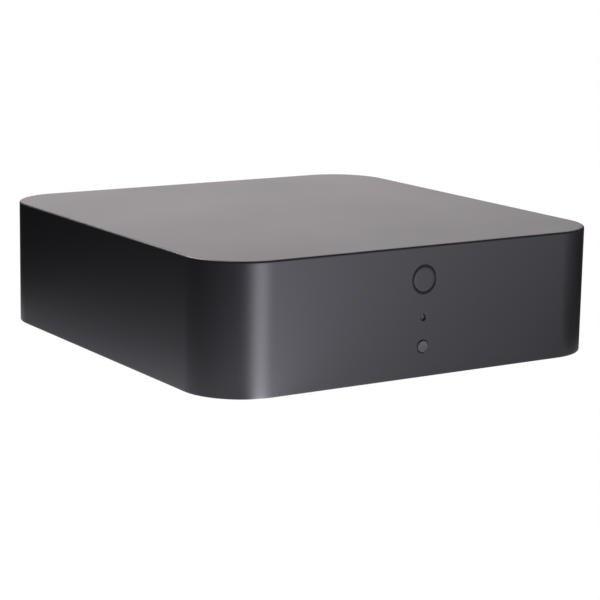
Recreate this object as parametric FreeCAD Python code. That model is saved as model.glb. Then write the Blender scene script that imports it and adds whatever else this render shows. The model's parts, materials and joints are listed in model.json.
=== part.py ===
import FreeCAD, Part
import math
import os
from FreeCAD import Vector

# A square, low box that takes music from a network, a turntable, a television or a disc player
# and passes it on. The front faces -Y, the sockets face +Y and the box stands on z = 0.
# All sizes are in millimetres. The origin is the centre of the footprint.

# Outer case
BODY_W = 143.0
BODY_D = 143.0
BODY_H = 40.0
CORNER_R = 18.5
TOP_EDGE_R = 1.0
RIM_EDGE_R = 0.35
SIDE_WALL = 2.2
TOP_WALL = 2.4
FOOT_PROUD = 0.9

# Base cover
BASE_T = 2.0
BASE_RECESS = 0.4
BASE_GAP = 0.25
RIB_T = 1.2
RIB_H = 2.4
RIB_INSET = 0.6
FOOT_R = 7.5
FOOT_POCKET = 0.8
FOOT_EDGE_R = 0.35
FOOT_SPREAD = 46.0
VENT_COUNT = 11
VENT_W = 2.2
VENT_L = 15.0
VENT_PITCH = 5.6
VENT_ROW_Y = 20.0

# Case screws and the bosses that take them
CASE_BOSS_X = 57.0
CASE_BOSS_FROM_END = 15.5
CASE_BOSS_R = 3.5
CASE_PILOT_R = 1.25
CASE_PILOT_DEPTH = 11.0
BOSS_WEB_T = 1.2
BOSS_WEB_LIFT = 7.0
CASE_SCREW_R = 1.25
CASE_SCREW_L = 12.0
CASE_HEAD_R = 2.7
CASE_HEAD_H = 1.8
CASE_HEAD_CLEAR = 0.4
CASE_HOLE_CLEAR = 0.35
CASE_SEAT_T = 1.2
CASE_SEAT_H = 1.4

# Main circuit board and its screws
STANDOFF_H = 4.7
STANDOFF_R = 3.0
STANDOFF_X = 48.0
STANDOFF_FROM_FRONT = 6.0
STANDOFF_FROM_REAR = 24.0
STANDOFF_MID_FROM_FRONT = 25.0
BOARD_W = 104.0
BOARD_FRONT_GAP = 4.5
BOARD_T = 1.6
BOARD_CORNER_R = 3.0
BOARD_HOLE_R = 1.45
BOARD_PANEL_GAP = 0.5
BOARD_SCREW_R = 1.2
BOARD_SCREW_L = 5.0
BOARD_HEAD_R = 2.5
BOARD_HEAD_H = 1.7
PILOT_FIT = 0.02
RECESS_R = 1.1
RECESS_DEPTH = 0.9
HEAD_EDGE_SHARE = 0.35

# Front face: ring, light and button
RING_BELOW_TOP = 10.1
RING_R = 4.4
RING_LINE = 0.62
RING_DEPTH = 0.6
RING_PROUD = 0.06
RING_FIT = 0.02
LIGHT_ABOVE_RIM = 18.3
LIGHT_R = 0.95
LIGHT_RECESS = 0.45
LIGHT_FIT = 0.05
LIGHT_FLANGE_R = 2.3
LIGHT_FLANGE_T = 0.9
LIGHT_ROD_R = 1.4
BUTTON_ABOVE_RIM = 9.5
BUTTON_R = 1.8
BUTTON_GAP = 0.2
BUTTON_PROUD = 0.35
BUTTON_EDGE_R = 0.25
BUTTON_FLANGE_R = 3.1
BUTTON_FLANGE_T = 1.0
BUTTON_STEM_R = 1.5
BUTTON_REST_GAP = 0.06
BUTTON_TRAVEL = 0.4
GUIDE_R = 4.4
GUIDE_RUN = 0.1

# Front board behind the light and the button
FRONT_BOARD_STAND = 7.2
FRONT_BOARD_T = 1.6
FRONT_BOARD_W = 30.0
FRONT_BOARD_LOW = 4.6
FRONT_BOARD_H = 22.0
FRONT_BOSS_X = 11.5
FRONT_BOSS_ABOVE_RIM = 14.0
FRONT_BOSS_R = 2.6
FRONT_PILOT_R = 0.85
FRONT_SCREW_R = 0.83
FRONT_SCREW_L = 6.0
FRONT_HEAD_R = 1.8
FRONT_HEAD_H = 1.2
FRONT_HOLE_CLEAR = 0.2
SWITCH_W = 6.0
SWITCH_T = 3.1
PLUNGER_R = 1.6
PLUNGER_FIT = 0.05
PLUNGER_PROUD = 1.0
PLUNGER_SEAT = 1.6
LED_W = 1.6
LED_H = 0.8
LED_T = 0.7
LED_GAP = 0.4

# Ribbon from the front board to the main board
RIBBON_W = 8.0
RIBBON_T = 0.3
RIBBON_BEND_R = 2.0
RIBBON_RISE = 4.0
RIBBON_REACH = 4.0
PLUG_L = 10.0
PLUG_D = 4.0
PLUG_H = 2.4

# Connector bay at the back
BAY_DEPTH = 9.0
WINDOW_W = 100.0
WINDOW_HEAD_ROOM = 2.0
WINDOW_CORNER_R = 3.0
TRAY_WALL = 1.5
TRAY_LIFT = 0.2
TRAY_SHELL_GAP = 0.2
PANEL_T = 2.0
PANEL_FIT = 0.25
EAR_W = 5.6
EAR_D = 5.2
EAR_T = 2.0
EAR_POST_R = 2.4
EAR_SCREW_L = 5.5

# Sockets on the back, by their distance from the middle
GROUND_X = 44.0
RCA_X = 32.5
DIGITAL_X = 18.6
HDMI_X = 2.5
USB_X = -15.5
LAN_X = -32.0
POWER_X = -45.0

# Round audio jacks
JACK_OUT = 8.3
JACK_R = 4.15
JACK_WALL = 0.6
JACK_SLEEVE_FIT = 0.03
JACK_PIN_R = 1.65
JACK_CONTACT_R = 2.1
JACK_CONTACT_BACK = 2.0
JACK_BLOCK_W = 10.4
JACK_BLOCK_D = 12.0
JACK_BLOCK_TOP = 5.3
JACK_FLANGE_R = 4.6
JACK_FLANGE_T = 0.8
INSULATOR_BACK = 0.5
BLOCK_GAP = 0.1
PANEL_SCREW_R = 1.2
PANEL_SCREW_L = 7.0
PANEL_HEAD_R = 1.5
PANEL_HEAD_H = 1.1

# Optical socket with its spring shutter
OPTIC_MID = 6.0
OPTIC_MOUTH = 8.2
OPTIC_CAVITY_W = 8.9
OPTIC_CAVITY_D = 10.9
OPTIC_LIP = 1.0
OPTIC_BLOCK_W = 10.6
OPTIC_BLOCK_D = 13.5
OPTIC_NOSE_UP = 7.1
SHUTTER_T = 0.7
SHUTTER_HINGE_UP = 5.0
SHUTTER_BARREL_R = 0.9
SHUTTER_PIN_R = 0.5
SHUTTER_PIN_FIT = 0.05
SHUTTER_SIDE_GAP = 0.2
SHUTTER_LIP_GAP = 0.05
SHUTTER_BARREL_L = 5.2
SHUTTER_NECK = 0.1
SPRING_WIRE = 0.24
SPRING_TURNS = 5
SPRING_STEPS = 8
SPRING_PITCH = 0.36
SPRING_COIL_R = 0.75
LENS_R = 1.5
LENS_OUT = 0.6

# Picture-and-sound socket
HDMI_W = 15.0
HDMI_H = 5.7
HDMI_D = 12.5
HDMI_SHELL_T = 0.4
HDMI_LIFT = 0.3
HDMI_SLANT = 1.9
HDMI_CAVITY_D = 8.5
HDMI_TONGUE_W = 11.2
HDMI_TONGUE_T = 1.4
HDMI_TONGUE_L = 7.4
HDMI_CONTACTS = 10
HDMI_CONTACT_W = 0.4
HDMI_CONTACT_T = 0.12
CONTACT_BACK = 1.0

# Serial bus socket
USB_W = 13.2
USB_H = 5.9
USB_D = 14.0
USB_SHELL_T = 0.35
USB_LIFT = 0.4
USB_CAVITY_D = 9.5
USB_TONGUE_W = 11.0
USB_TONGUE_T = 1.85
USB_TONGUE_L = 8.6
USB_TONGUE_UP = 0.75
USB_CONTACTS = 4
USB_CONTACT_W = 1.1
USB_CONTACT_T = 0.2

# Wired network socket
LAN_W = 16.0
LAN_H = 13.4
LAN_D = 21.0
LAN_SHELL_T = 0.3
LAN_MOUTH_W = 11.9
LAN_MOUTH_H = 8.4
LAN_MOUTH_LOW = 2.5
LAN_MOUTH_D = 14.5
LAN_LATCH_W = 6.2
LAN_LATCH_H = 1.5
LAN_CONTACTS = 8
LAN_CONTACT_PITCH = 1.02
LAN_CONTACT_W = 0.35
LAN_CONTACT_RISE = 2.5
LAN_CONTACT_BACK = 3.0
LAN_LAMP_W = 2.8
LAN_LAMP_H = 1.4
LAN_LAMP_D = 3.0

# Power socket
POWER_W = 9.0
POWER_H = 11.0
POWER_D = 13.5
POWER_MID = 6.5
POWER_BORE_R = 3.15
POWER_BORE_D = 9.5
POWER_PIN_R = 1.05
POWER_PIN_L = 8.6
POWER_PIN_SEAT = 2.0

# Ground terminal
GROUND_Z = 12.6
STUD_R = 2.0
STUD_OUT = 7.6
STUD_COLLAR_R = 3.4
STUD_COLLAR_T = 1.0
NUT_FLATS = 7.0
NUT_T = 3.0
LUG_R = 3.9
LUG_T = 0.7
LUG_TAIL_L = 7.0
LUG_TAIL_W = 3.0
WASHER_R = 4.0
WASHER_T = 0.8
KNOB_R = 3.9
KNOB_L = 6.6
KNOB_NECK_R = 3.2
KNOB_NECK_L = 1.4
KNOB_KNURLS = 26
KNOB_KNURL_DEPTH = 0.28
KNOB_FIT = 0.05
KNOB_SEAT_GAP = 0.05
WIRE_R = 0.65

# Parts on the main board
CHIP_X = 1.0
CHIP_FROM_REAR = 56.0
CHIP_SIDE = 17.0
CHIP_T = 1.4
PAD_SIDE = 16.0
PAD_T = 1.0
SINK_SIDE = 38.0
SINK_BASE_T = 2.5
SINK_FINS = 9
SINK_FIN_T = 1.2
SINK_FIN_H = 9.0
SINK_PIN_R = 1.3
SINK_PIN_HEAD_R = 2.4
SINK_PIN_HEAD_H = 1.4
SINK_PIN_INSET = 3.4
SINK_PIN_FIT = 0.1
SINK_PIN_TIP = 1.6
MEMORY_W = 9.0
MEMORY_L = 13.0
MEMORY_T = 1.0
MEMORY_SPREAD = 8.0
MEMORY_BESIDE_SINK = 8.0
STORAGE_X = 30.0
STORAGE_GAP = 7.0
STORAGE_W = 12.0
SHIELD_X = 32.0
SHIELD_FROM_REAR = 33.0
SHIELD_W = 20.0
SHIELD_D = 24.0
SHIELD_H = 5.0
SHIELD_T = 0.3
SHIELD_HOLE_R = 0.9
CODEC_W = 7.0
RADIO_X = -37.0
RADIO_FROM_REAR = 82.0
RADIO_W = 22.0
RADIO_D = 16.0
RADIO_BOARD_T = 0.8
RADIO_CAN_T = 2.0
ANTENNA_L = 42.0
ANTENNA_H = 9.0
ANTENNA_T = 0.4
ANTENNA_MID_Z = 24.0
LEAD_R = 0.57
LEAD_PLUG_R = 1.3
LEAD_PLUG_T = 1.3
NEAR_LEAD_ROUTE = ((-7.0, 0.4, 0.6), (-13.0, 2.5, 3.2))
NEAR_LEAD_WALL_ROUTE = ((0.8, 7.0, -3.2), (0.0, 12.5, -0.8), (0.0, 17.0, 0.0))
FAR_LEAD_START = (-3.4, -4.6, 0.0)
FAR_LEAD_ROW = 8.0
FAR_LEAD_ROUTE = ((-1.5, 2.0, -0.6), (9.0, -2.4, -1.2), (30.0, -2.0, -1.6), (55.0, -4.0, -1.4),
                  (80.0, -1.0, -0.6))
FAR_LEAD_WALL_ROUTE = ((-12.0, 3.0, -9.5), (-1.5, 12.0, -4.2), (0.0, 22.0, -0.8), (0.0, 31.0, 0.0))
CAPACITOR_R = 4.0
CAPACITOR_H = 11.0
SMALL_CAPACITOR_R = 3.15
SMALL_CAPACITOR_H = 7.0
INDUCTOR_SIDE = 8.0
INDUCTOR_T = 4.0
INDUCTOR_EDGE_R = 1.2
RELAY_W = 6.6
RELAY_D = 10.0
RELAY_H = 5.4
PART_GAP = 1.6

# Heights and faces that follow from the sizes above
rim_z = FOOT_PROUD
top_z = rim_z + BODY_H
ceiling_z = top_z - TOP_WALL
base_low = rim_z + BASE_RECESS
base_top = base_low + BASE_T
board_low = base_top + STANDOFF_H
board_top = board_low + BOARD_T
front_y = -BODY_D / 2
rear_y = BODY_D / 2
front_inner = front_y + SIDE_WALL
rear_inner = rear_y - SIDE_WALL
side_inner = BODY_W / 2 - SIDE_WALL
panel_out = rear_y - BAY_DEPTH
panel_in = panel_out - PANEL_T
board_rear = panel_in - BOARD_PANEL_GAP
button_z = rim_z + BUTTON_ABOVE_RIM
light_z = rim_z + LIGHT_ABOVE_RIM
ring_z = top_z - RING_BELOW_TOP
switch_board_y = front_inner + FRONT_BOARD_STAND
switch_board_back = switch_board_y + FRONT_BOARD_T
board_front = switch_board_back + BOARD_FRONT_GAP
chip_y = board_rear - CHIP_FROM_REAR
shield_y = board_rear - SHIELD_FROM_REAR
radio_y = board_rear - RADIO_FROM_REAR
front_boss_z = rim_z + FRONT_BOSS_ABOVE_RIM
tray_low = base_top + TRAY_LIFT
window_low = tray_low + TRAY_WALL
tray_top = ceiling_z - WINDOW_HEAD_ROOM
window_top = tray_top - TRAY_WALL
tray_rear = rear_inner - TRAY_SHELL_GAP
block_rear = panel_in - BLOCK_GAP
jack_room = window_top - board_top
jack_z = (board_top + jack_room / 4, window_top - jack_room / 4)
optic_z = board_top + OPTIC_MID
ground_z = board_top + GROUND_Z
power_z = board_top + POWER_MID
case_boss_y = rear_y - CASE_BOSS_FROM_END
case_bosses = [(sx * CASE_BOSS_X, sy * case_boss_y) for sx in (-1, 1) for sy in (-1, 1)]
standoff_rows = (board_front + STANDOFF_FROM_FRONT, board_rear - STANDOFF_FROM_REAR)
standoffs = [(sx * STANDOFF_X, y) for y in standoff_rows for sx in (-1, 1)]
standoffs.append((0.0, board_front + STANDOFF_MID_FROM_FRONT))
case_seat_top = base_top + CASE_SEAT_H

X_AXIS, Y_AXIS, Z_AXIS = Vector(1, 0, 0), Vector(0, 1, 0), Vector(0, 0, 1)


def block(x, y, z):
    """A box between two values on each axis."""
    return Part.makeBox(x[1] - x[0], y[1] - y[0], z[1] - z[0], Vector(x[0], y[0], z[0]))


def around(middle, size):
    """The two ends of a length centred on a value."""
    return (middle - size / 2, middle + size / 2)


def post(x, y, z, radius):
    """An upright cylinder between two heights."""
    return Part.makeCylinder(radius, z[1] - z[0], Vector(x, y, z[0]), Z_AXIS)


def barrel(x, y, z, radius):
    """A cylinder along Y between two depths."""
    return Part.makeCylinder(radius, y[1] - y[0], Vector(x, y[0], z), Y_AXIS)


def tube(x, y, z, outer, inner):
    """A tube along Y between two depths."""
    return barrel(x, y, z, outer).cut(barrel(x, y, z, inner))


def slab(x, y, z, radius):
    """A box whose upright edges are rounded."""
    solid = block(x, y, z)
    upright = [e for e in solid.Edges if abs(e.tangentAt(e.FirstParameter).z) > 0.99]
    return solid.makeFillet(radius, upright)


def inset_slab(inset, height):
    """The body's rounded square, drawn in by a distance all round, between two heights."""
    return slab(around(0, BODY_W - 2 * inset), around(0, BODY_D - 2 * inset), height, CORNER_R - inset)


def edges_at(solid, height):
    """The edges of a solid that lie flat at one height."""
    return [e for e in solid.Edges
            if abs(e.BoundBox.ZMin - height) < 1e-4 and abs(e.BoundBox.ZMax - height) < 1e-4]


def edges_facing(solid, depth):
    """The edges of a solid that lie in one plane across Y."""
    return [e for e in solid.Edges
            if abs(e.BoundBox.YMin - depth) < 1e-4 and abs(e.BoundBox.YMax - depth) < 1e-4]


def prism(points, along):
    """A straight solid from a closed outline and the vector it is drawn along."""
    return Part.Face(Part.makePolygon([Vector(*p) for p in points + points[:1]])).extrude(along)


def bent_tube(points, radius, name):
    """A round wire of straight runs joined by tangent arcs, each as large as its two runs allow."""
    points = [Vector(*p) for p in points]
    edges, start, radii = [], points[0], []
    for before, corner, after in zip(points, points[1:], points[2:]):
        into, out = (corner - before), (after - corner)
        turn = into.getAngle(out)
        bend = 0.45 * min(into.Length, out.Length) / math.tan(turn / 2)
        reach = bend * math.tan(turn / 2)
        first = corner - into.normalize() * reach
        last = corner + out.normalize() * reach
        toward = (first + last) * 0.5 - corner
        middle = corner + toward.normalize() * (bend / math.cos(turn / 2) - bend)
        edges += [Part.LineSegment(start, first).toShape(), Part.Arc(first, middle, last).toShape()]
        start = last
        radii.append(round(bend, 1))
    edges.append(Part.LineSegment(start, points[-1]).toShape())
    path = Part.Wire(edges)
    ring = Part.Wire(Part.makeCircle(radius, points[0], points[1] - points[0]))
    pipe = Part.BRepOffsetAPI.MakePipeShell(path)
    pipe.add(ring, False, False)
    pipe.build()
    pipe.makeSolid()
    solid = pipe.shape()
    expected = math.pi * radius ** 2 * path.Length
    share = round(solid.Volume / expected, 4)
    print(name, "length", round(path.Length, 1), "least radius", min(radii), "volume share", share)
    return solid


def pan_head_screw(x, y, seat, length, radius, head_r, head_h, up):
    """A screw along Z whose head sits on a seat. up is 1 when the head is above its shank, and -1 below."""
    shank = post(x, y, (seat - length, seat) if up > 0 else (seat, seat + length), radius)
    head = post(x, y, (seat, seat + head_h) if up > 0 else (seat - head_h, seat), head_r)
    outer = seat + up * head_h
    head = head.makeFillet(head_h * HEAD_EDGE_SHARE, edges_at(head, outer))
    recess = cross_recess((x, y, outer), Vector(0, 0, -up))
    return shank.fuse(head).cut(recess).removeSplitter()


def cross_recess(point, inward):
    """The cross-shaped hole of a screw head, sunk from a point along a direction."""
    width = RECESS_R * 0.55
    bars = []
    for turn in (0, 90):
        bar = Part.makeBox(2 * RECESS_R, width, RECESS_DEPTH, Vector(-RECESS_R, -width / 2, 0))
        bar.rotate(Vector(0, 0, 0), Z_AXIS, turn)
        bars.append(bar)
    cross = bars[0].fuse(bars[1])
    cross.Placement = FreeCAD.Placement(Vector(*point), FreeCAD.Rotation(Z_AXIS, inward))
    return cross


def screw_along_y(x, seat, z, length, radius, head_r, head_h):
    """A screw along Y whose head is on the +Y side of its seat."""
    shank = barrel(x, (seat - length, seat), z, radius)
    head = barrel(x, (seat, seat + head_h), z, head_r)
    head = head.makeFillet(head_h * HEAD_EDGE_SHARE, edges_facing(head, seat + head_h))
    return shank.fuse(head).cut(cross_recess((x, seat + head_h, z), Vector(0, -1, 0))).removeSplitter()


def save(name, *solids):
    """Writes one sub-part, after a test that each of its solids is sound."""
    pieces = [s for shape in solids for s in shape.Solids]
    for piece in pieces:
        assert piece.isValid() and piece.Volume > 0, name
    shape = pieces[0] if len(pieces) == 1 else Part.makeCompound(pieces)
    shape.exportStep(f"parts/{name}.step")


def top_shell():
    """The moulded cover: top and four walls in one, with its bosses, front holes and rear window."""
    outer = inset_slab(0, (rim_z, top_z))
    outer = outer.makeFillet(TOP_EDGE_R, edges_at(outer, top_z))
    outer = outer.makeFillet(RIM_EDGE_R, edges_at(outer, rim_z))
    shell = outer.cut(inset_slab(SIDE_WALL, (rim_z, ceiling_z)))
    bosses = [post(x, y, (case_seat_top, ceiling_z), CASE_BOSS_R) for x, y in case_bosses]
    bosses += boss_webs()
    stand = (front_inner, switch_board_y)
    bosses += [barrel(sx * FRONT_BOSS_X, stand, front_boss_z, FRONT_BOSS_R) for sx in (-1, 1)]
    guide_end = front_inner + BUTTON_REST_GAP + BUTTON_FLANGE_T + BUTTON_TRAVEL
    bosses.append(tube(0, (front_inner, guide_end), button_z, GUIDE_R, BUTTON_FLANGE_R + GUIDE_RUN))
    shell = shell.fuse(bosses)
    pilot = (case_seat_top, case_seat_top + CASE_PILOT_DEPTH)
    holes = [post(x, y, pilot, CASE_PILOT_R) for x, y in case_bosses]
    holes += [barrel(sx * FRONT_BOSS_X, stand, front_boss_z, FRONT_PILOT_R) for sx in (-1, 1)]
    holes.append(barrel(0, (front_y, front_inner), button_z, BUTTON_R + BUTTON_GAP))
    holes.append(barrel(0, (front_y, front_inner), light_z, LIGHT_R + LIGHT_FIT))
    groove = (front_y, front_y + RING_DEPTH)
    holes.append(tube(0, groove, ring_z, RING_R + RING_FIT, RING_R - RING_LINE - RING_FIT))
    holes.append(window_opening())
    return shell.cut(holes).removeSplitter()


def boss_webs():
    """Thin webs that tie each case boss to the nearest side wall."""
    height = (case_seat_top + BOSS_WEB_LIFT, ceiling_z)
    webs = []
    for x, y in case_bosses:
        reach = (x, side_inner) if x > 0 else (-side_inner, x)
        webs.append(block(reach, around(y, BOSS_WEB_T), height))
    return webs


def window_opening():
    """The rounded window through the rear wall."""
    hole = block(around(0, WINDOW_W), (rear_inner, rear_y), (window_low, window_top))
    along = [e for e in hole.Edges if abs(e.tangentAt(e.FirstParameter).y) > 0.99]
    return hole.makeFillet(WINDOW_CORNER_R, along)


def base_cover():
    """The bottom plate with its stiffening rib, posts, foot pockets, vents and screw seats."""
    inset = SIDE_WALL + BASE_GAP
    plate = inset_slab(inset, (base_low, base_top))
    rib_height = (base_top, base_top + RIB_H)
    rib = inset_slab(inset + RIB_INSET, rib_height)
    hollow = inset_slab(inset + RIB_INSET + RIB_T, rib_height)
    tray_room = block(around(0, WINDOW_W + 4 * TRAY_WALL), (panel_in - TRAY_WALL, rear_y), rib_height)
    rib = rib.cut([hollow, tray_room])
    seats = [post(x, y, (base_top, case_seat_top), CASE_BOSS_R + CASE_SEAT_T) for x, y in case_bosses]
    seats += [post(x, y, (base_top, board_low), STANDOFF_R) for x, y in standoffs]
    seats += [post(x, y, (base_top, board_low), EAR_POST_R) for x, y in ear_centres()]
    plate = plate.fuse([rib] + seats)
    head_room = CASE_HEAD_R + CASE_HEAD_CLEAR
    head_seat = case_seat_top - CASE_SEAT_T
    holes = [post(x, y, (base_low, case_seat_top), CASE_SCREW_R + CASE_HOLE_CLEAR) for x, y in case_bosses]
    holes += [post(x, y, (base_low, head_seat), head_room) for x, y in case_bosses]
    board_pilot = (board_top - BOARD_SCREW_L, board_low)
    holes += [post(x, y, board_pilot, BOARD_SCREW_R + PILOT_FIT) for x, y in standoffs]
    ear_pilot = (board_low + EAR_T - EAR_SCREW_L, board_low)
    holes += [post(x, y, ear_pilot, BOARD_SCREW_R + PILOT_FIT) for x, y in ear_centres()]
    holes += [post(x, y, (base_low, base_low + FOOT_POCKET), FOOT_R) for x, y in foot_centres()]
    first = -(VENT_COUNT - 1) / 2 * VENT_PITCH
    for row in (-VENT_ROW_Y, VENT_ROW_Y):
        holes += [vent_slot(first + i * VENT_PITCH, row) for i in range(VENT_COUNT)]
    return plate.cut(holes).removeSplitter()


def vent_slot(x, y):
    """A slot with round ends through the base cover."""
    half = (VENT_L - VENT_W) / 2
    middle = block(around(x, VENT_W), around(y, 2 * half), (base_low, base_top))
    ends = [post(x, y + s * half, (base_low, base_top), VENT_W / 2) for s in (-1, 1)]
    return middle.fuse(ends)


def foot_centres():
    """Where the four feet stand."""
    return [(sx * FOOT_SPREAD, sy * FOOT_SPREAD) for sx in (-1, 1) for sy in (-1, 1)]


def ear_centres():
    """Where the two ears of the rear panel are screwed down."""
    x = WINDOW_W / 2 + TRAY_WALL + EAR_W / 2
    return [(s * x, panel_in + EAR_D / 2) for s in (-1, 1)]


def rubber_feet():
    """Four round feet glued into their pockets."""
    feet = []
    for x, y in foot_centres():
        foot = post(x, y, (0, base_low + FOOT_POCKET), FOOT_R)
        feet.append(foot.makeFillet(FOOT_EDGE_R, edges_at(foot, 0)))
    return feet


def case_screws():
    """Four screws that come up through the base cover into the shell."""
    seat = case_seat_top - CASE_SEAT_T
    return [pan_head_screw(x, y, seat, CASE_SCREW_L, CASE_SCREW_R - PILOT_FIT, CASE_HEAD_R, CASE_HEAD_H, -1)
            for x, y in case_bosses]


def board_screws():
    """Five screws that hold the main board on its posts."""
    return [pan_head_screw(x, y, board_top, BOARD_SCREW_L, BOARD_SCREW_R, BOARD_HEAD_R, BOARD_HEAD_H, 1)
            for x, y in standoffs]


def panel_ear_screws():
    """Two screws that hold the rear panel's ears on their posts."""
    seat = board_low + EAR_T
    return [pan_head_screw(x, y, seat, EAR_SCREW_L, BOARD_SCREW_R, BOARD_HEAD_R, BOARD_HEAD_H, 1)
            for x, y in ear_centres()]


def rear_panel():
    """The connector plate with the walls of its bay and its two ears."""
    half = WINDOW_W / 2
    outside = block((-half - TRAY_WALL, half + TRAY_WALL), (panel_in, tray_rear), (tray_low, tray_top))
    inside = block((-half, half), (panel_out, tray_rear), (window_low, window_top))
    along = [e for e in inside.Edges if abs(e.tangentAt(e.FirstParameter).y) > 0.99]
    inside = inside.makeFillet(WINDOW_CORNER_R, along)
    tray = outside.cut(inside)
    ear_x = half + TRAY_WALL
    ears = [block((min(s * ear_x, s * (ear_x + EAR_W)), max(s * ear_x, s * (ear_x + EAR_W))),
                  (panel_in, panel_in + EAR_D), (board_low, board_low + EAR_T)) for s in (-1, 1)]
    tray = tray.fuse(ears)
    plate = (panel_in, panel_out)
    holes = [post(x, y, (board_low, board_low + EAR_T), BOARD_HOLE_R) for x, y in ear_centres()]
    holes += [barrel(x, plate, z, JACK_R + PANEL_FIT) for x, z in jack_places()]
    holes += [barrel(x, plate, z, PANEL_SCREW_R + PANEL_FIT) for x, z in panel_screw_places()]
    holes.append(barrel(GROUND_X, plate, ground_z, STUD_R + PANEL_FIT))
    holes.append(prism(hdmi_outline(PANEL_FIT, panel_in), Vector(0, PANEL_T, 0)))
    for x, width, low, high in ((DIGITAL_X, OPTIC_BLOCK_W, *optic_nose_heights()),
                                (USB_X, USB_W, *usb_heights()),
                                (LAN_X, LAN_W, board_top, board_top + LAN_H),
                                (POWER_X, POWER_W, board_top, board_top + POWER_H)):
        holes.append(block(around(x, width + 2 * PANEL_FIT), plate, (low - PANEL_FIT, high + PANEL_FIT)))
    return tray.cut(holes).removeSplitter()


def jack_places():
    """The axes of the round jacks: two line inputs, one above the other, and the digital one."""
    return [(RCA_X, jack_z[0]), (RCA_X, jack_z[1]), (DIGITAL_X, jack_z[1])]


def panel_screw_places():
    """Where screws tie the jack blocks to the plate."""
    between = (jack_z[0] + jack_z[1]) / 2
    return [(RCA_X, between)]


def jack_block_screws():
    """The screw between the stacked jacks."""
    return [screw_along_y(x, panel_out, z, PANEL_SCREW_L, PANEL_SCREW_R, PANEL_HEAD_R, PANEL_HEAD_H)
            for x, z in panel_screw_places()]


def jack_block(x, low_jack, low_z):
    """The housing behind the plate that carries jacks, drilled for their barrels."""
    top = jack_z[1] + JACK_BLOCK_TOP
    body = block(around(x, JACK_BLOCK_W), (block_rear - JACK_BLOCK_D, block_rear), (low_z, top))
    heights = jack_z if low_jack else jack_z[1:]
    return body.cut([barrel(x, (block_rear - JACK_BLOCK_D / 2, block_rear), z, JACK_R) for z in heights])


def line_jack_block():
    """The housing of the two stacked line jacks."""
    body = jack_block(RCA_X, True, board_top)
    holes = [barrel(x, (panel_out - PANEL_SCREW_L, block_rear), z, PANEL_SCREW_R + PILOT_FIT)
             for x, z in panel_screw_places()]
    return body.cut(holes)


def jack_sleeve(x, z):
    """The metal collar that the plug's ring grips, with a flange on the plate."""
    start = block_rear - JACK_BLOCK_D / 2
    end = panel_out + JACK_OUT
    sleeve = barrel(x, (start, end), z, JACK_R)
    sleeve = sleeve.makeFillet(JACK_WALL * 0.6, edges_facing(sleeve, end))
    flange = barrel(x, (panel_out, panel_out + JACK_FLANGE_T), z, JACK_FLANGE_R)
    return sleeve.fuse(flange).cut(barrel(x, (start, end), z, JACK_R - JACK_WALL)).removeSplitter()


def jack_insulator(x, z):
    """The coloured plastic core of a jack, with the hole for the plug's pin."""
    start = block_rear - JACK_BLOCK_D / 2
    end = panel_out + JACK_OUT - INSULATOR_BACK
    core = barrel(x, (start, end), z, JACK_R - JACK_WALL - JACK_SLEEVE_FIT)
    core = core.cut(barrel(x, (start + JACK_CONTACT_BACK, end), z, JACK_PIN_R))
    return core.cut(barrel(x, (start, end - JACK_CONTACT_BACK), z, JACK_CONTACT_R))


def jack_contact(x, z):
    """The spring sleeve inside a jack's core."""
    start = block_rear - JACK_BLOCK_D / 2
    end = panel_out + JACK_OUT - INSULATOR_BACK - JACK_CONTACT_BACK
    sleeve = barrel(x, (start, end), z, JACK_CONTACT_R - JACK_SLEEVE_FIT)
    return sleeve.cut(barrel(x, (start + JACK_CONTACT_BACK, end), z, JACK_PIN_R))


def optic_nose_heights():
    """The two heights of the optical socket's nose."""
    return (optic_z - OPTIC_MID, optic_z + OPTIC_NOSE_UP)


def optic_cavity():
    """The faces of the space behind the optical socket's lip: widths, depths and heights."""
    lip_back = panel_out - OPTIC_LIP
    hinge_z = optic_z + SHUTTER_HINGE_UP
    low = optic_z - OPTIC_MOUTH / 2 - SHUTTER_SIDE_GAP
    top = hinge_z + SHUTTER_BARREL_R + SHUTTER_SIDE_GAP
    return around(DIGITAL_X, OPTIC_CAVITY_W), (lip_back - OPTIC_CAVITY_D, lip_back), (low, top)


def shutter_hinge():
    """The depth and height of the shutter's hinge line."""
    return panel_out - OPTIC_LIP - SHUTTER_LIP_GAP - SHUTTER_BARREL_R, optic_z + SHUTTER_HINGE_UP


def digital_jack_block():
    """One housing for the optical socket below and the digital round jack above."""
    body = jack_block(DIGITAL_X, False, board_top)
    low, high = optic_nose_heights()
    nose = block(around(DIGITAL_X, OPTIC_BLOCK_W), (block_rear - OPTIC_BLOCK_D, panel_out), (low, high))
    body = body.fuse(nose)
    width, depth, height = optic_cavity()
    mouth = block(around(DIGITAL_X, OPTIC_MOUTH), (depth[1], panel_out), around(optic_z, OPTIC_MOUTH))
    y, z = shutter_hinge()
    pin_half = OPTIC_CAVITY_W / 2 + (OPTIC_BLOCK_W - OPTIC_CAVITY_W) / 4
    pin_hole = Part.makeCylinder(SHUTTER_PIN_R, 2 * pin_half, Vector(DIGITAL_X - pin_half, y, z), X_AXIS)
    lens = barrel(DIGITAL_X, (block_rear - OPTIC_BLOCK_D, depth[0]), optic_z, LENS_R)
    jack = barrel(DIGITAL_X, (block_rear - JACK_BLOCK_D / 2, panel_out), jack_z[1], JACK_R)
    return body.cut([mouth, block(width, depth, height), pin_hole, lens, jack]).removeSplitter()


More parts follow.
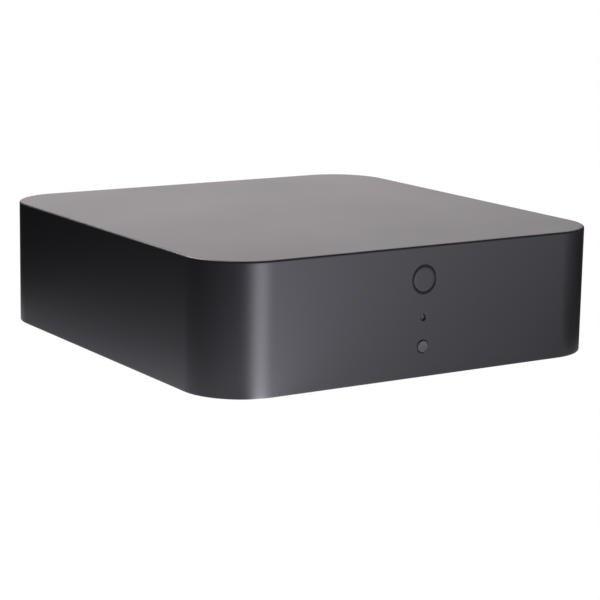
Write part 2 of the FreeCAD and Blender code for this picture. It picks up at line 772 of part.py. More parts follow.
def optical_shutter():
    """The flap that closes the optical socket, with its hinge barrel."""
    y, z = shutter_hinge()
    half = OPTIC_CAVITY_W / 2 - SHUTTER_SIDE_GAP
    front = y + SHUTTER_BARREL_R
    low = optic_z - OPTIC_MOUTH / 2 - SHUTTER_SIDE_GAP / 2
    high = z - SHUTTER_BARREL_R - SHUTTER_NECK
    plate = block((DIGITAL_X - half, DIGITAL_X + half), (front - SHUTTER_T, front), (low, high))
    start = DIGITAL_X - half
    neck = block((start, start + SHUTTER_BARREL_L), (front - SHUTTER_T, front), (high, z))
    roll = Part.makeCylinder(SHUTTER_BARREL_R, SHUTTER_BARREL_L, Vector(start, y, z), X_AXIS)
    bore = Part.makeCylinder(SHUTTER_PIN_R + SHUTTER_PIN_FIT, SHUTTER_BARREL_L, Vector(start, y, z), X_AXIS)
    return plate.fuse([neck, roll]).cut(bore).removeSplitter()


def shutter_pin():
    """The hinge pin of the shutter."""
    y, z = shutter_hinge()
    half = OPTIC_CAVITY_W / 2 + (OPTIC_BLOCK_W - OPTIC_CAVITY_W) / 4
    return Part.makeCylinder(SHUTTER_PIN_R, 2 * half, Vector(DIGITAL_X - half, y, z), X_AXIS)


def shutter_spring():
    """The torsion spring that closes the shutter, wound round the pin beside the barrel."""
    y, z = shutter_hinge()
    start = DIGITAL_X - OPTIC_CAVITY_W / 2 + SHUTTER_SIDE_GAP + SHUTTER_BARREL_L + SPRING_WIRE
    points = []
    for i in range(SPRING_TURNS * SPRING_STEPS + 1):
        turn = 2 * math.pi * i / SPRING_STEPS
        along = start + SPRING_PITCH * i / SPRING_STEPS
        points.append((along, y + SPRING_COIL_R * math.cos(turn), z + SPRING_COIL_R * math.sin(turn)))
    return bent_tube(points, SPRING_WIRE / 2, "shutter_spring")


def optical_receiver():
    """The light receiver behind the optical socket, with its lens in the cavity."""
    _, depth, _ = optic_cavity()
    back = block_rear - OPTIC_BLOCK_D
    body = block(around(DIGITAL_X, OPTIC_BLOCK_W - 2), (back - PAD_T, back), around(optic_z, OPTIC_MOUTH))
    return body.fuse(barrel(DIGITAL_X, (back, depth[0] + LENS_OUT), optic_z, LENS_R)).removeSplitter()


def hdmi_outline(grow, depth):
    """The socket's outline at one depth: a box whose two lower corners are cut on a slant."""
    half = HDMI_W / 2 + grow
    low = board_top + HDMI_LIFT - grow
    high = board_top + HDMI_LIFT + HDMI_H + grow
    slant = low + HDMI_SLANT
    left, right = HDMI_X - half, HDMI_X + half
    corners = [(left + HDMI_SLANT, low), (right - HDMI_SLANT, low), (right, slant), (right, high),
               (left, high), (left, slant)]
    return [(x, depth, z) for x, z in corners]


def hdmi_shield():
    """The folded steel shell of the picture-and-sound socket."""
    start = panel_out - HDMI_D
    outer = prism(hdmi_outline(0, start), Vector(0, HDMI_D, 0))
    return outer.cut(prism(hdmi_outline(-HDMI_SHELL_T, start), Vector(0, HDMI_D, 0)))


def hdmi_insert():
    """The plastic body and tongue inside the picture-and-sound socket."""
    start = panel_out - HDMI_D
    body = prism(hdmi_outline(-HDMI_SHELL_T, start), Vector(0, HDMI_D - HDMI_CAVITY_D, 0))
    root = panel_out - HDMI_CAVITY_D
    tongue = block(around(HDMI_X, HDMI_TONGUE_W), (root, root + HDMI_TONGUE_L), hdmi_tongue_heights())
    return body.fuse(tongue)


def hdmi_tongue_heights():
    """The two heights of the tongue, which lies across the middle of the shell."""
    return around(board_top + HDMI_LIFT + HDMI_H / 2, HDMI_TONGUE_T)


def hdmi_contacts():
    """Two rows of flat contacts on the tongue, the lower one set half a step aside."""
    low, high = hdmi_tongue_heights()
    root = panel_out - HDMI_CAVITY_D
    pitch = HDMI_TONGUE_W / (HDMI_CONTACTS + 1)
    first = HDMI_X - pitch * (HDMI_CONTACTS - 1) / 2
    length = (root, root + HDMI_TONGUE_L - CONTACT_BACK)
    upper = [block(around(first + i * pitch, HDMI_CONTACT_W), length, (high, high + HDMI_CONTACT_T))
             for i in range(HDMI_CONTACTS)]
    lower = [block(around(first + (i + 0.5) * pitch, HDMI_CONTACT_W), length, (low - HDMI_CONTACT_T, low))
             for i in range(HDMI_CONTACTS - 1)]
    return upper + lower


def usb_heights():
    """The two heights of the serial bus socket."""
    return (board_top + USB_LIFT, board_top + USB_LIFT + USB_H)


def usb_shield():
    """The steel shell of the serial bus socket."""
    low, high = usb_heights()
    length = (panel_out - USB_D, panel_out)
    outer = block(around(USB_X, USB_W), length, (low, high))
    inner = block(around(USB_X, USB_W - 2 * USB_SHELL_T), length, (low + USB_SHELL_T, high - USB_SHELL_T))
    return outer.cut(inner)


def usb_tongue_heights():
    """The two heights of the tongue, which hangs near the shell's roof."""
    _, high = usb_heights()
    top = high - USB_SHELL_T - USB_TONGUE_UP
    return (top - USB_TONGUE_T, top)


def usb_insert():
    """The plastic body and tongue inside the serial bus socket."""
    low, high = usb_heights()
    root = panel_out - USB_CAVITY_D
    inside = USB_W - 2 * USB_SHELL_T
    body = block(around(USB_X, inside), (panel_out - USB_D, root), (low + USB_SHELL_T, high - USB_SHELL_T))
    return body.fuse(block(around(USB_X, USB_TONGUE_W), (root, root + USB_TONGUE_L), usb_tongue_heights()))


def usb_contacts():
    """Four flat contacts under the tongue."""
    low, _ = usb_tongue_heights()
    root = panel_out - USB_CAVITY_D
    pitch = USB_TONGUE_W / USB_CONTACTS
    first = USB_X - pitch * (USB_CONTACTS - 1) / 2
    length = (root, root + USB_TONGUE_L - CONTACT_BACK)
    return [block(around(first + i * pitch, USB_CONTACT_W), length, (low - USB_CONTACT_T, low))
            for i in range(USB_CONTACTS)]


def lan_shield():
    """The steel jacket of the network socket, open at the front and below."""
    length = (panel_out - LAN_D, panel_out)
    outer = block(around(LAN_X, LAN_W), length, (board_top, board_top + LAN_H))
    inner = block(around(LAN_X, LAN_W - 2 * LAN_SHELL_T), (length[0] + LAN_SHELL_T, panel_out),
                  (board_top, board_top + LAN_H - LAN_SHELL_T))
    return outer.cut(inner)


def lan_mouth():
    """The widths, depths and heights of the network socket's cavity."""
    low = board_top + LAN_MOUTH_LOW
    return around(LAN_X, LAN_MOUTH_W), (panel_out - LAN_MOUTH_D, panel_out), (low, low + LAN_MOUTH_H)


def lan_lamp_places():
    """The two lamps below the corners of the network socket's mouth."""
    reach = LAN_W / 2 - LAN_SHELL_T - LAN_LAMP_W / 2 - PANEL_FIT
    low = board_top + (LAN_MOUTH_LOW - LAN_LAMP_H) / 2
    return [(LAN_X + s * reach, low) for s in (-1, 1)]


def lan_lamp(x, low):
    """One lamp of the network socket."""
    return block(around(x, LAN_LAMP_W), (panel_out - LAN_LAMP_D, panel_out), (low, low + LAN_LAMP_H))


def lan_insert():
    """The plastic body of the network socket, with its cavity, its latch slot and the seats of its lamps."""
    length = (panel_out - LAN_D + LAN_SHELL_T, panel_out)
    body = block(around(LAN_X, LAN_W - 2 * LAN_SHELL_T), length, (board_top, board_top + LAN_H - LAN_SHELL_T))
    width, depth, height = lan_mouth()
    latch = block(around(LAN_X, LAN_LATCH_W), depth, (height[1], height[1] + LAN_LATCH_H))
    return body.cut([block(width, depth, height), latch] + [lan_lamp(x, low) for x, low in lan_lamp_places()])


def lan_contacts():
    """Eight spring wires that slant up from the floor of the network socket."""
    _, depth, height = lan_mouth()
    first = LAN_X - LAN_CONTACT_PITCH * (LAN_CONTACTS - 1) / 2
    low, thick = height[0], LAN_CONTACT_W
    front, back = depth[1] - LAN_CONTACT_BACK, depth[0] + LAN_CONTACT_BACK
    high = low + LAN_CONTACT_RISE
    outline = [(front, low), (front - thick, low), (back, high - thick), (back, high), (front, low + thick)]
    wires = []
    for i in range(LAN_CONTACTS):
        x = first + i * LAN_CONTACT_PITCH - LAN_CONTACT_W / 2
        wires.append(prism([(x, y, z) for y, z in outline], Vector(LAN_CONTACT_W, 0, 0)))
    return wires


def power_socket():
    """The plastic body of the power socket."""
    body = block(around(POWER_X, POWER_W), (panel_out - POWER_D, panel_out), (board_top, board_top + POWER_H))
    bore = barrel(POWER_X, (panel_out - POWER_BORE_D, panel_out), power_z, POWER_BORE_R)
    root = panel_out - POWER_BORE_D
    seat = barrel(POWER_X, (root - POWER_PIN_SEAT, root), power_z, POWER_PIN_R)
    return body.cut([bore, seat])


def power_pin():
    """The metal pin in the middle of the power socket."""
    root = panel_out - POWER_BORE_D
    pin = barrel(POWER_X, (root - POWER_PIN_SEAT, root + POWER_PIN_L), power_z, POWER_PIN_R)
    return pin.makeFillet(POWER_PIN_R * 0.4, edges_facing(pin, root + POWER_PIN_L))


def ground_stud():
    """The threaded stud of the ground terminal, with a collar seated on the plate's inner face."""
    inner = panel_in - STUD_COLLAR_T - LUG_T - NUT_T
    stud = barrel(GROUND_X, (inner, panel_out + STUD_OUT), ground_z, STUD_R)
    stud = stud.makeFillet(STUD_R * 0.2, edges_facing(stud, panel_out + STUD_OUT))
    collar = barrel(GROUND_X, (panel_in - STUD_COLLAR_T, panel_in), ground_z, STUD_COLLAR_R)
    return stud.fuse(collar).removeSplitter()


def ground_lug():
    """The ring lug that ties the stud to the ground wire."""
    back = panel_in - STUD_COLLAR_T
    depth = (back - LUG_T, back)
    ring = barrel(GROUND_X, depth, ground_z, LUG_R)
    tail = block(around(GROUND_X, LUG_TAIL_W), depth, (ground_z - LUG_TAIL_L, ground_z))
    return ring.fuse(tail).cut(barrel(GROUND_X, depth, ground_z, STUD_R + PILOT_FIT)).removeSplitter()


def ground_nut():
    """The hexagonal nut that holds the lug on the stud."""
    back = panel_in - STUD_COLLAR_T - LUG_T
    radius = NUT_FLATS / 2 / math.cos(math.pi / 6)
    corners = [(GROUND_X + radius * math.cos(math.radians(60 * i)), back - NUT_T,
                ground_z + radius * math.sin(math.radians(60 * i))) for i in range(6)]
    nut = prism(corners, Vector(0, NUT_T, 0))
    return nut.cut(barrel(GROUND_X, (back - NUT_T, back), ground_z, STUD_R + PILOT_FIT))


def ground_washer():
    """The captive washer of the ground terminal, which travels with the knob but doesn't turn."""
    return tube(GROUND_X, (panel_out + KNOB_SEAT_GAP, panel_out + KNOB_SEAT_GAP + WASHER_T), ground_z,
                WASHER_R, STUD_R + KNOB_FIT)


def ground_knob():
    """The knurled thumb nut of the ground terminal."""
    start = panel_out + 2 * KNOB_SEAT_GAP + WASHER_T
    neck = barrel(GROUND_X, (start, start + KNOB_NECK_L), ground_z, KNOB_NECK_R)
    points = []
    for i in range(2 * KNOB_KNURLS):
        radius = KNOB_R - (KNOB_KNURL_DEPTH if i % 2 else 0)
        angle = math.pi * i / KNOB_KNURLS
        x, z = GROUND_X + radius * math.cos(angle), ground_z + radius * math.sin(angle)
        points.append((x, start + KNOB_NECK_L, z))
    grip = prism(points, Vector(0, KNOB_L - KNOB_NECK_L, 0))
    return neck.fuse(grip).cut(barrel(GROUND_X, (start, start + KNOB_L), ground_z, STUD_R + KNOB_FIT))


def ground_wire():
    """The green wire from the lug's tail down to the main board."""
    top = ground_z - LUG_TAIL_L
    y = panel_in - STUD_COLLAR_T - LUG_T - WIRE_R - PILOT_FIT
    points = [(GROUND_X, y, top + 2.0), (GROUND_X, y, top - 0.9), (GROUND_X - 0.5, y - 1.5, board_top + 2.8),
              (GROUND_X - 0.5, y - 1.5, board_top)]
    return bent_tube(points, WIRE_R, "ground_wire")


def front_ring():
    """The polished ring let into the front wall."""
    depth = (front_y - RING_PROUD, front_y + RING_DEPTH)
    return tube(0, depth, ring_z, RING_R, RING_R - RING_LINE)


def light_guide():
    """The clear guide that carries the status light from its diode to the front."""
    nose = barrel(0, (front_y + LIGHT_RECESS, front_inner), light_z, LIGHT_R)
    flange = barrel(0, (front_inner, front_inner + LIGHT_FLANGE_T), light_z, LIGHT_FLANGE_R)
    rod = barrel(0, (front_inner + LIGHT_FLANGE_T, switch_board_y - LED_T - LED_GAP), light_z, LIGHT_ROD_R)
    return nose.fuse([flange, rod]).removeSplitter()


def front_button():
    """The round button: a cap through the front wall, a flange that keeps it in, and a stem to the switch."""
    face = front_y - BUTTON_PROUD
    flange_start = front_inner + BUTTON_REST_GAP
    flange_end = flange_start + BUTTON_FLANGE_T
    cap = barrel(0, (face, flange_start), button_z, BUTTON_R)
    cap = cap.makeFillet(BUTTON_EDGE_R, edges_facing(cap, face))
    flange = barrel(0, (flange_start, flange_end), button_z, BUTTON_FLANGE_R)
    stem = barrel(0, (flange_end, plunger_face() - BUTTON_REST_GAP), button_z, BUTTON_STEM_R)
    return cap.fuse([flange, stem]).removeSplitter()


def plunger_face():
    """The depth of the switch plunger's front face at rest."""
    return switch_board_y - SWITCH_T - PLUNGER_PROUD


def front_switch():
    """The switch on the front board, with the bore that its plunger runs in."""
    body = block(around(0, SWITCH_W), (switch_board_y - SWITCH_T, switch_board_y), around(button_z, SWITCH_W))
    depth = PLUNGER_SEAT + BUTTON_TRAVEL + PLUNGER_FIT
    start = switch_board_y - SWITCH_T
    return body.cut(barrel(0, (start, start + depth), button_z, PLUNGER_R + PLUNGER_FIT))


def switch_plunger():
    """The plunger of the front switch."""
    return barrel(0, (plunger_face(), switch_board_y - SWITCH_T + PLUNGER_SEAT), button_z, PLUNGER_R)


def status_light():
    """The light diode on the front board."""
    return block(around(0, LED_W), (switch_board_y - LED_T, switch_board_y), around(light_z, LED_H))


def front_board():
    """The upright board that carries the switch and the light."""
    low = base_top + FRONT_BOARD_LOW
    board = block(around(0, FRONT_BOARD_W), (switch_board_y, switch_board_back), (low, low + FRONT_BOARD_H))
    depth = (switch_board_y, switch_board_back)
    radius = FRONT_SCREW_R + FRONT_HOLE_CLEAR
    return board.cut([barrel(s * FRONT_BOSS_X, depth, front_boss_z, radius) for s in (-1, 1)])


def front_board_screws():
    """Two small screws that hold the front board on the shell's bosses."""
    return [screw_along_y(s * FRONT_BOSS_X, switch_board_back, front_boss_z, FRONT_SCREW_L, FRONT_SCREW_R,
                          FRONT_HEAD_R, FRONT_HEAD_H) for s in (-1, 1)]


def ribbon_ends():
    """The ribbon's two sockets: the depth and height where it leaves each."""
    high = board_top + RIBBON_RISE
    return (switch_board_back + PLUG_H, high), (board_front + RIBBON_REACH, board_top + PLUG_H / 2)


def ribbon_sockets():
    """The two sockets that the ribbon plugs into."""
    (wall, high), (y, _) = ribbon_ends()
    on_front = block(around(0, PLUG_L), (switch_board_back, wall), (high, high + PLUG_D))
    on_main = block(around(0, PLUG_L), (y, y + PLUG_D), (board_top, board_top + PLUG_H))
    return [on_front, on_main]


def ribbon_cable():
    """The flat flexible cable: down from the front board, then back onto the main board."""
    (wall, high), (y, z) = ribbon_ends()
    middle = wall - PLUG_H / 2
    centre_y, centre_z = middle + RIBBON_BEND_R, z + RIBBON_BEND_R
    half = RIBBON_T / 2
    outer, inner = RIBBON_BEND_R + half, RIBBON_BEND_R - half

    def at(depth, height):
        return Vector(-RIBBON_W / 2, depth, height)

    def on_bend(radius):
        reach = radius * math.cos(math.pi / 4)
        return at(centre_y - reach, centre_z - reach)

    edges = [Part.LineSegment(at(middle - half, high), at(middle - half, centre_z)),
             Part.Arc(at(middle - half, centre_z), on_bend(outer), at(centre_y, z - half)),
             Part.LineSegment(at(centre_y, z - half), at(y, z - half)),
             Part.LineSegment(at(y, z - half), at(y, z + half)),
             Part.LineSegment(at(y, z + half), at(centre_y, z + half)),
             Part.Arc(at(centre_y, z + half), on_bend(inner), at(middle + half, centre_z)),
             Part.LineSegment(at(middle + half, centre_z), at(middle + half, high)),
             Part.LineSegment(at(middle + half, high), at(middle - half, high))]
    return Part.Face(Part.Wire([edge.toShape() for edge in edges])).extrude(Vector(RIBBON_W, 0, 0))


def main_board():
    """The main circuit board."""
    board = slab(around(0, BOARD_W), (board_front, board_rear), (board_low, board_top), BOARD_CORNER_R)
    holes = [post(x, y, (board_low, board_top), BOARD_HOLE_R) for x, y in standoffs]
    holes += [post(x, y, (board_low, board_top), SINK_PIN_R + SINK_PIN_FIT) for x, y in sink_pin_places()]
    return board.cut(holes)


def sink_pin_places():
    """The two opposite corners where pins hold the heat sink down."""
    reach = SINK_SIDE / 2 - SINK_PIN_INSET
    return [(CHIP_X - reach, chip_y + reach), (CHIP_X + reach, chip_y - reach)]


def processor_chip():
    """The processor."""
    return block(around(CHIP_X, CHIP_SIDE), around(chip_y, CHIP_SIDE), (board_top, board_top + CHIP_T))


def thermal_pad():
    """The soft pad between the processor and its heat sink."""
    low = board_top + CHIP_T
    return block(around(CHIP_X, PAD_SIDE), around(chip_y, PAD_SIDE), (low, low + PAD_T))


def heat_sink():
    """The finned heat sink, with two corners cleared for its pins."""
    low = board_top + CHIP_T + PAD_T
    plate = block(around(CHIP_X, SINK_SIDE), around(chip_y, SINK_SIDE), (low, low + SINK_BASE_T))
    step = (SINK_SIDE - SINK_FIN_T) / (SINK_FINS - 1)
    first = CHIP_X - SINK_SIDE / 2
    top = low + SINK_BASE_T
    fins = [block((x, x + SINK_FIN_T), around(chip_y, SINK_SIDE), (top, top + SINK_FIN_H))
            for x in (first + i * step for i in range(SINK_FINS))]
    room = SINK_PIN_HEAD_R + SINK_PIN_FIT
    clear = []
    for x, y in sink_pin_places():
        clear.append(block(around(x, 2 * room), around(y, 2 * room), (top, top + SINK_FIN_H)))
        clear.append(post(x, y, (low, top), SINK_PIN_R + SINK_PIN_FIT))
    return plate.fuse(fins).cut(clear).removeSplitter()


def heat_sink_pins():
    """The two push pins that hold the heat sink on the board."""
    seat = board_top + CHIP_T + PAD_T + SINK_BASE_T
    pins = []
    for x, y in sink_pin_places():
        shank = post(x, y, (board_low - SINK_PIN_TIP, seat), SINK_PIN_R)
        pins.append(shank.fuse(post(x, y, (seat, seat + SINK_PIN_HEAD_H), SINK_PIN_HEAD_R)).removeSplitter())
    return pins


def small_chips():
    """Two memory chips and the storage chip beside the processor, and the converter under its can."""
    x = CHIP_X - SINK_SIDE / 2 - MEMORY_BESIDE_SINK
    height = (board_top, board_top + MEMORY_T)
    chips = [block(around(x, MEMORY_W), around(chip_y + s * MEMORY_SPREAD, MEMORY_L), height)
             for s in (-1, 1)]
    storage_y = relay_row() - RELAY_D / 2 - STORAGE_GAP - MEMORY_L / 2
    chips.append(block(around(STORAGE_X, STORAGE_W), around(storage_y, MEMORY_L), height))
    chips.append(block(around(SHIELD_X, CODEC_W), around(shield_y, CODEC_W), (board_top, board_top + CHIP_T)))
    return chips


def shield_can():
    """The steel can over the analogue converter."""
    outer = block(around(SHIELD_X, SHIELD_W), around(shield_y, SHIELD_D), (board_top, board_top + SHIELD_H))
    inner = block(around(SHIELD_X, SHIELD_W - 2 * SHIELD_T), around(shield_y, SHIELD_D - 2 * SHIELD_T),
                  (board_top, board_top + SHIELD_H - SHIELD_T))
    step = SHIELD_W / 5
    roof = (board_top + SHIELD_H - SHIELD_T, board_top + SHIELD_H)
    holes = [post(SHIELD_X + (i - 1.5) * step, shield_y + (j - 2) * step, roof, SHIELD_HOLE_R)
             for i in range(4) for j in range(5)]
    return outer.cut([inner] + holes)


def radio_module():
    """The radio module: a small board with a steel can."""
    low = board_top
    board = block(around(RADIO_X, RADIO_W), around(radio_y, RADIO_D), (low, low + RADIO_BOARD_T))
    can_mid = RADIO_X + LEAD_PLUG_R * 2
    can = block(around(can_mid, RADIO_W - 4 * LEAD_PLUG_R - 1), around(radio_y, RADIO_D - 1.6),
                (low + RADIO_BOARD_T, low + RADIO_BOARD_T + RADIO_CAN_T))
    return board.fuse(can)


def lead_plug_places():
    """Where the two aerial leads press onto the radio module."""
    x = RADIO_X - RADIO_W / 2 + LEAD_PLUG_R + 0.6
    return [(x, radio_y - RADIO_D / 4), (x, radio_y + RADIO_D / 4)]


def lead_plugs():
    """The two round press-on plugs of the aerial leads."""
    low = board_top + RADIO_BOARD_T
    return [post(x, y, (low, low + LEAD_PLUG_T), LEAD_PLUG_R) for x, y in lead_plug_places()]


def aerial(side):
    """A flat aerial stuck to a side wall of the shell."""
    inner = side * (side_inner - ANTENNA_T)
    x = (min(inner, side * side_inner), max(inner, side * side_inner))
    return block(x, around(radio_y + ANTENNA_L / 2, ANTENNA_L), around(ANTENNA_MID_Z, ANTENNA_H))


def shifted(start, steps):
    """The points that lie at the given steps from a start."""
    return [tuple(a + b for a, b in zip(start, step)) for step in steps]


def aerial_lead_near():
    """The lead to the aerial beside the radio module."""
    x, y = lead_plug_places()[1]
    z = board_top + RADIO_BOARD_T + LEAD_PLUG_T + LEAD_R + PILOT_FIT
    wall = -(side_inner - ANTENNA_T - LEAD_R - PILOT_FIT)
    points = [(x, y, z)] + shifted((x, y, z), NEAR_LEAD_ROUTE)
    points += shifted((wall, y, ANTENNA_MID_Z), NEAR_LEAD_WALL_ROUTE)
    return bent_tube(points, LEAD_R, "aerial_lead_near")


def aerial_lead_far():
    """The lead that crosses the front of the main board to the far aerial."""
    x, y = lead_plug_places()[0]
    z = board_top + RADIO_BOARD_T + LEAD_PLUG_T + LEAD_R + PILOT_FIT
    wall = side_inner - ANTENNA_T - LEAD_R - PILOT_FIT
    row = radio_y - RADIO_D / 2 - FAR_LEAD_ROW
    points = [(x, y, z)] + shifted((x, y, z), [FAR_LEAD_START]) + shifted((x, row, z), FAR_LEAD_ROUTE)
    points += shifted((wall, row, ANTENNA_MID_Z), FAR_LEAD_WALL_ROUTE)
    return bent_tube(points, LEAD_R, "aerial_lead_far")


def capacitor(x, y, radius, height):
    """A round can capacitor with its groove near the foot."""
    body = post(x, y, (board_top, board_top + height), radius)
    body = body.makeFillet(radius * 0.12, edges_at(body, board_top + height))
    groove_z = board_top + height * 0.16
    groove = post(x, y, (groove_z, groove_z + radius * 0.2), radius).cut(
        post(x, y, (groove_z, groove_z + radius * 0.2), radius * 0.93))
    return body.cut(groove)


def power_capacitor_row():
    """The depth of the large capacitors' row, in front of the network socket."""
    return panel_out - LAN_D - 2 * PART_GAP - CAPACITOR_R


def power_capacitors():
    """Three large capacitors near the power socket."""
    step = 2 * CAPACITOR_R + PART_GAP
    return [capacitor(LAN_X + i * step, power_capacitor_row(), CAPACITOR_R, CAPACITOR_H) for i in range(3)]


def audio_capacitor_row():
    """The depth of the small capacitors' row, in front of the steel can."""
    return shield_y - SHIELD_D / 2 - PART_GAP - SMALL_CAPACITOR_R


def audio_capacitors():
    """Three smaller capacitors of the audio section."""
    step = 2 * SMALL_CAPACITOR_R + PART_GAP / 2
    return [capacitor(SHIELD_X + i * step, audio_capacitor_row(), SMALL_CAPACITOR_R, SMALL_CAPACITOR_H)
            for i in (-1, 0, 1)]


def power_coils():
    """Three shielded coils of the power supply."""
    row = power_capacitor_row() - CAPACITOR_R - PART_GAP - INDUCTOR_SIDE / 2
    step = INDUCTOR_SIDE + PART_GAP
    height = (board_top, board_top + INDUCTOR_T)
    return [slab(around(LAN_X + i * step, INDUCTOR_SIDE), around(row, INDUCTOR_SIDE), height, INDUCTOR_EDGE_R)
            for i in (-1, 0, 1)]


def relay_row():
    """The depth of the relays' row, in front of the small capacitors."""
    return audio_capacitor_row() - SMALL_CAPACITOR_R - PART_GAP - RELAY_D / 2


def input_relays():
    """Two relays that switch the audio inputs."""
    y = relay_row()
    height = (board_top, board_top + RELAY_H)
    return [block(around(SHIELD_X + s * (RELAY_W + PART_GAP) / 2, RELAY_W), around(y, RELAY_D), height)
            for s in (-1, 1)]


def main():
    os.makedirs("parts", exist_ok=True)
    save("top_shell", top_shell())
    save("base_cover", base_cover())
    save("rubber_feet", *rubber_feet())
    save("case_screws", *case_screws())
    save("rear_panel", rear_panel())
    save("panel_screws", *panel_ear_screws(), *jack_block_screws())
    save("front_ring", front_ring())
    save("light_guide", light_guide())
    save("front_button", front_button())
    save("front_switch", front_switch())
    save("switch_plunger", switch_plunger())
    save("status_light", status_light())
    save("front_board", front_board())
    save("front_board_screws", *front_board_screws())
    save("ribbon_cable", ribbon_cable())
    save("ribbon_sockets", *ribbon_sockets())
    save("main_board", main_board())
    save("board_screws", *board_screws())
    save("line_jack_block", line_jack_block())
    save("digital_jack_block", digital_jack_block())
    save("jack_sleeves", *[jack_sleeve(x, z) for x, z in jack_places()])
    for colour, (x, z) in zip(("red", "white", "orange"), jack_places()):
        save(f"jack_core_{colour}", jack_insulator(x, z))
    save("jack_contacts", *[jack_contact(x, z) for x, z in jack_places()])
    save("optical_shutter", optical_shutter())
    save("shutter_pin", shutter_pin())
    save("shutter_spring", shutter_spring())
    save("optical_receiver", optical_receiver())
    save("hdmi_shield", hdmi_shield())
    save("hdmi_insert", hdmi_insert())
    save("hdmi_contacts", *hdmi_contacts())
    save("usb_shield", usb_shield())
    save("usb_insert", usb_insert())
    save("usb_contacts", *usb_contacts())
    save("lan_shield", lan_shield())
    save("lan_insert", lan_insert())
    save("lan_contacts", *lan_contacts())
    save("lan_lamps", *[lan_lamp(x, low) for x, low in lan_lamp_places()])
    save("power_socket", power_socket())
    save("power_pin", power_pin())
    save("ground_stud", ground_stud())
    save("ground_lug", ground_lug())
    save("ground_nut", ground_nut())
    save("ground_washer", ground_washer())
    save("ground_knob", ground_knob())
    save("ground_wire", ground_wire())
    save("processor_chip", processor_chip())
    save("thermal_pad", thermal_pad())
    save("heat_sink", heat_sink())
    save("heat_sink_pins", *heat_sink_pins())
    save("small_chips", *small_chips())
    save("shield_can", shield_can())
    save("radio_module", radio_module())
    save("aerials", aerial(-1), aerial(1))
    save("aerial_leads", aerial_lead_near(), aerial_lead_far(), *lead_plugs())
    save("capacitors", *power_capacitors(), *audio_capacitors())
    save("power_coils", *power_coils())
    save("input_relays", *input_relays())


main()
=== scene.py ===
"""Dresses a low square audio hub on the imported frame: its case, front details, sockets, feet and boards.

Everything is in metres, in the frame's own axes: the front faces -Y, the sockets face +Y, and +Z is up.
"""

import json
import math

import bmesh
import bpy
import numpy as np
from bpy.props import FloatProperty, FloatVectorProperty, IntProperty, PointerProperty
from mathutils import Matrix, Vector


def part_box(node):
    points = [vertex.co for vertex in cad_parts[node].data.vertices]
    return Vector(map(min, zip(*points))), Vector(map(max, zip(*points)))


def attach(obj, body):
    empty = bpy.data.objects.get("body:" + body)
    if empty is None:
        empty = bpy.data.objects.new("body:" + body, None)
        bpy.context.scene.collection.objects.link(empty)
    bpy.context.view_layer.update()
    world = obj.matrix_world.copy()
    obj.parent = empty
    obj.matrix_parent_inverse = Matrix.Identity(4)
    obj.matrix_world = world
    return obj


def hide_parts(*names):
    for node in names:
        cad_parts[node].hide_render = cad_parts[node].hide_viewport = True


bl_info = {
    "name": "Network audio hub",
    "version": (1, 0, 0),
    "blender": (4, 5, 0),
    "location": "View3D > Sidebar > Audio hub",
    "description": "Surfaces, finishes, lights and camera for a network audio hub",
    "category": "Object",
}

MM = 0.001
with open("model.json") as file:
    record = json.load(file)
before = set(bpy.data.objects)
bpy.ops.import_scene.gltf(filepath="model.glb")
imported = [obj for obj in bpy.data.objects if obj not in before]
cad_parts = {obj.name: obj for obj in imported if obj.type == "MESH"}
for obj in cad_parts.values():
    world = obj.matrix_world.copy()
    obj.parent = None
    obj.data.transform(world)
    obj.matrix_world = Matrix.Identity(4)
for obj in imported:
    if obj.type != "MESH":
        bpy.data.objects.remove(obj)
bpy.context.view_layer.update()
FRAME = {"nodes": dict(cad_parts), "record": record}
NODES = FRAME["nodes"]
BODIES = FRAME["record"]["behaviour"]["bodies"]
BODY_OF = {node: body for body, nodes in BODIES.items() for node in nodes}
SLOT_OF = {part["node"]: part["material_slot"] for part in FRAME["record"]["subparts"]}
# Gaps at which the points of frame nodes and of new surfaces are merged, and the least length of an edge.
FRAME_WELD, SURFACE_WELD, LEAST_EDGE = 1e-6, 2e-7, 1e-8
# Faces that meet at less than the first angle are flat, and edges past the other two are sharp.
FLAT, FRAME_SHARP, SURFACE_SHARP = math.radians(1.0), math.radians(32.0), math.radians(35.0)
# The least radius of a loop's corners, and of a block's corners where its ends are drawn in.
LOOP_CORNER, BLOCK_CORNER = 1e-6, 1e-5


def corners_of(node):
    """The lowest and highest corner of a frame node, as arrays."""
    low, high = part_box(node)
    return np.array(low), np.array(high)


def centre_of(node):
    """The middle of a frame node's box."""
    low, high = corners_of(node)
    return (low + high) / 2


def welded(mesh, gap):
    """A mesh opened for editing, with its points merged where they lie closer than a gap."""
    work = bmesh.new()
    work.from_mesh(mesh)
    bmesh.ops.remove_doubles(work, verts=work.verts, dist=gap)
    return work


def solids_of(node):
    """The lowest and highest corner of each separate solid of a frame node.

    Every point takes the lowest number that it reaches along the edges, until no number changes.
    """
    work, mesh = welded(NODES[node].data, FRAME_WELD), bpy.data.meshes.new("solids")
    work.to_mesh(mesh)
    work.free()
    points, edges = np.zeros(len(mesh.vertices) * 3), np.zeros(len(mesh.edges) * 2, int)
    mesh.vertices.foreach_get("co", points)
    mesh.edges.foreach_get("vertices", edges)
    points, (a, b) = points.reshape(-1, 3), edges.reshape(-1, 2).T
    bpy.data.meshes.remove(mesh)
    label, before = np.arange(len(points)), None
    while before is None or (label != before).any():
        before = label.copy()
        np.minimum.at(label, a, before[b])
        np.minimum.at(label, b, before[a])
        label = label[label]
    return [(points[label == k].min(axis=0), points[label == k].max(axis=0)) for k in np.unique(label)]


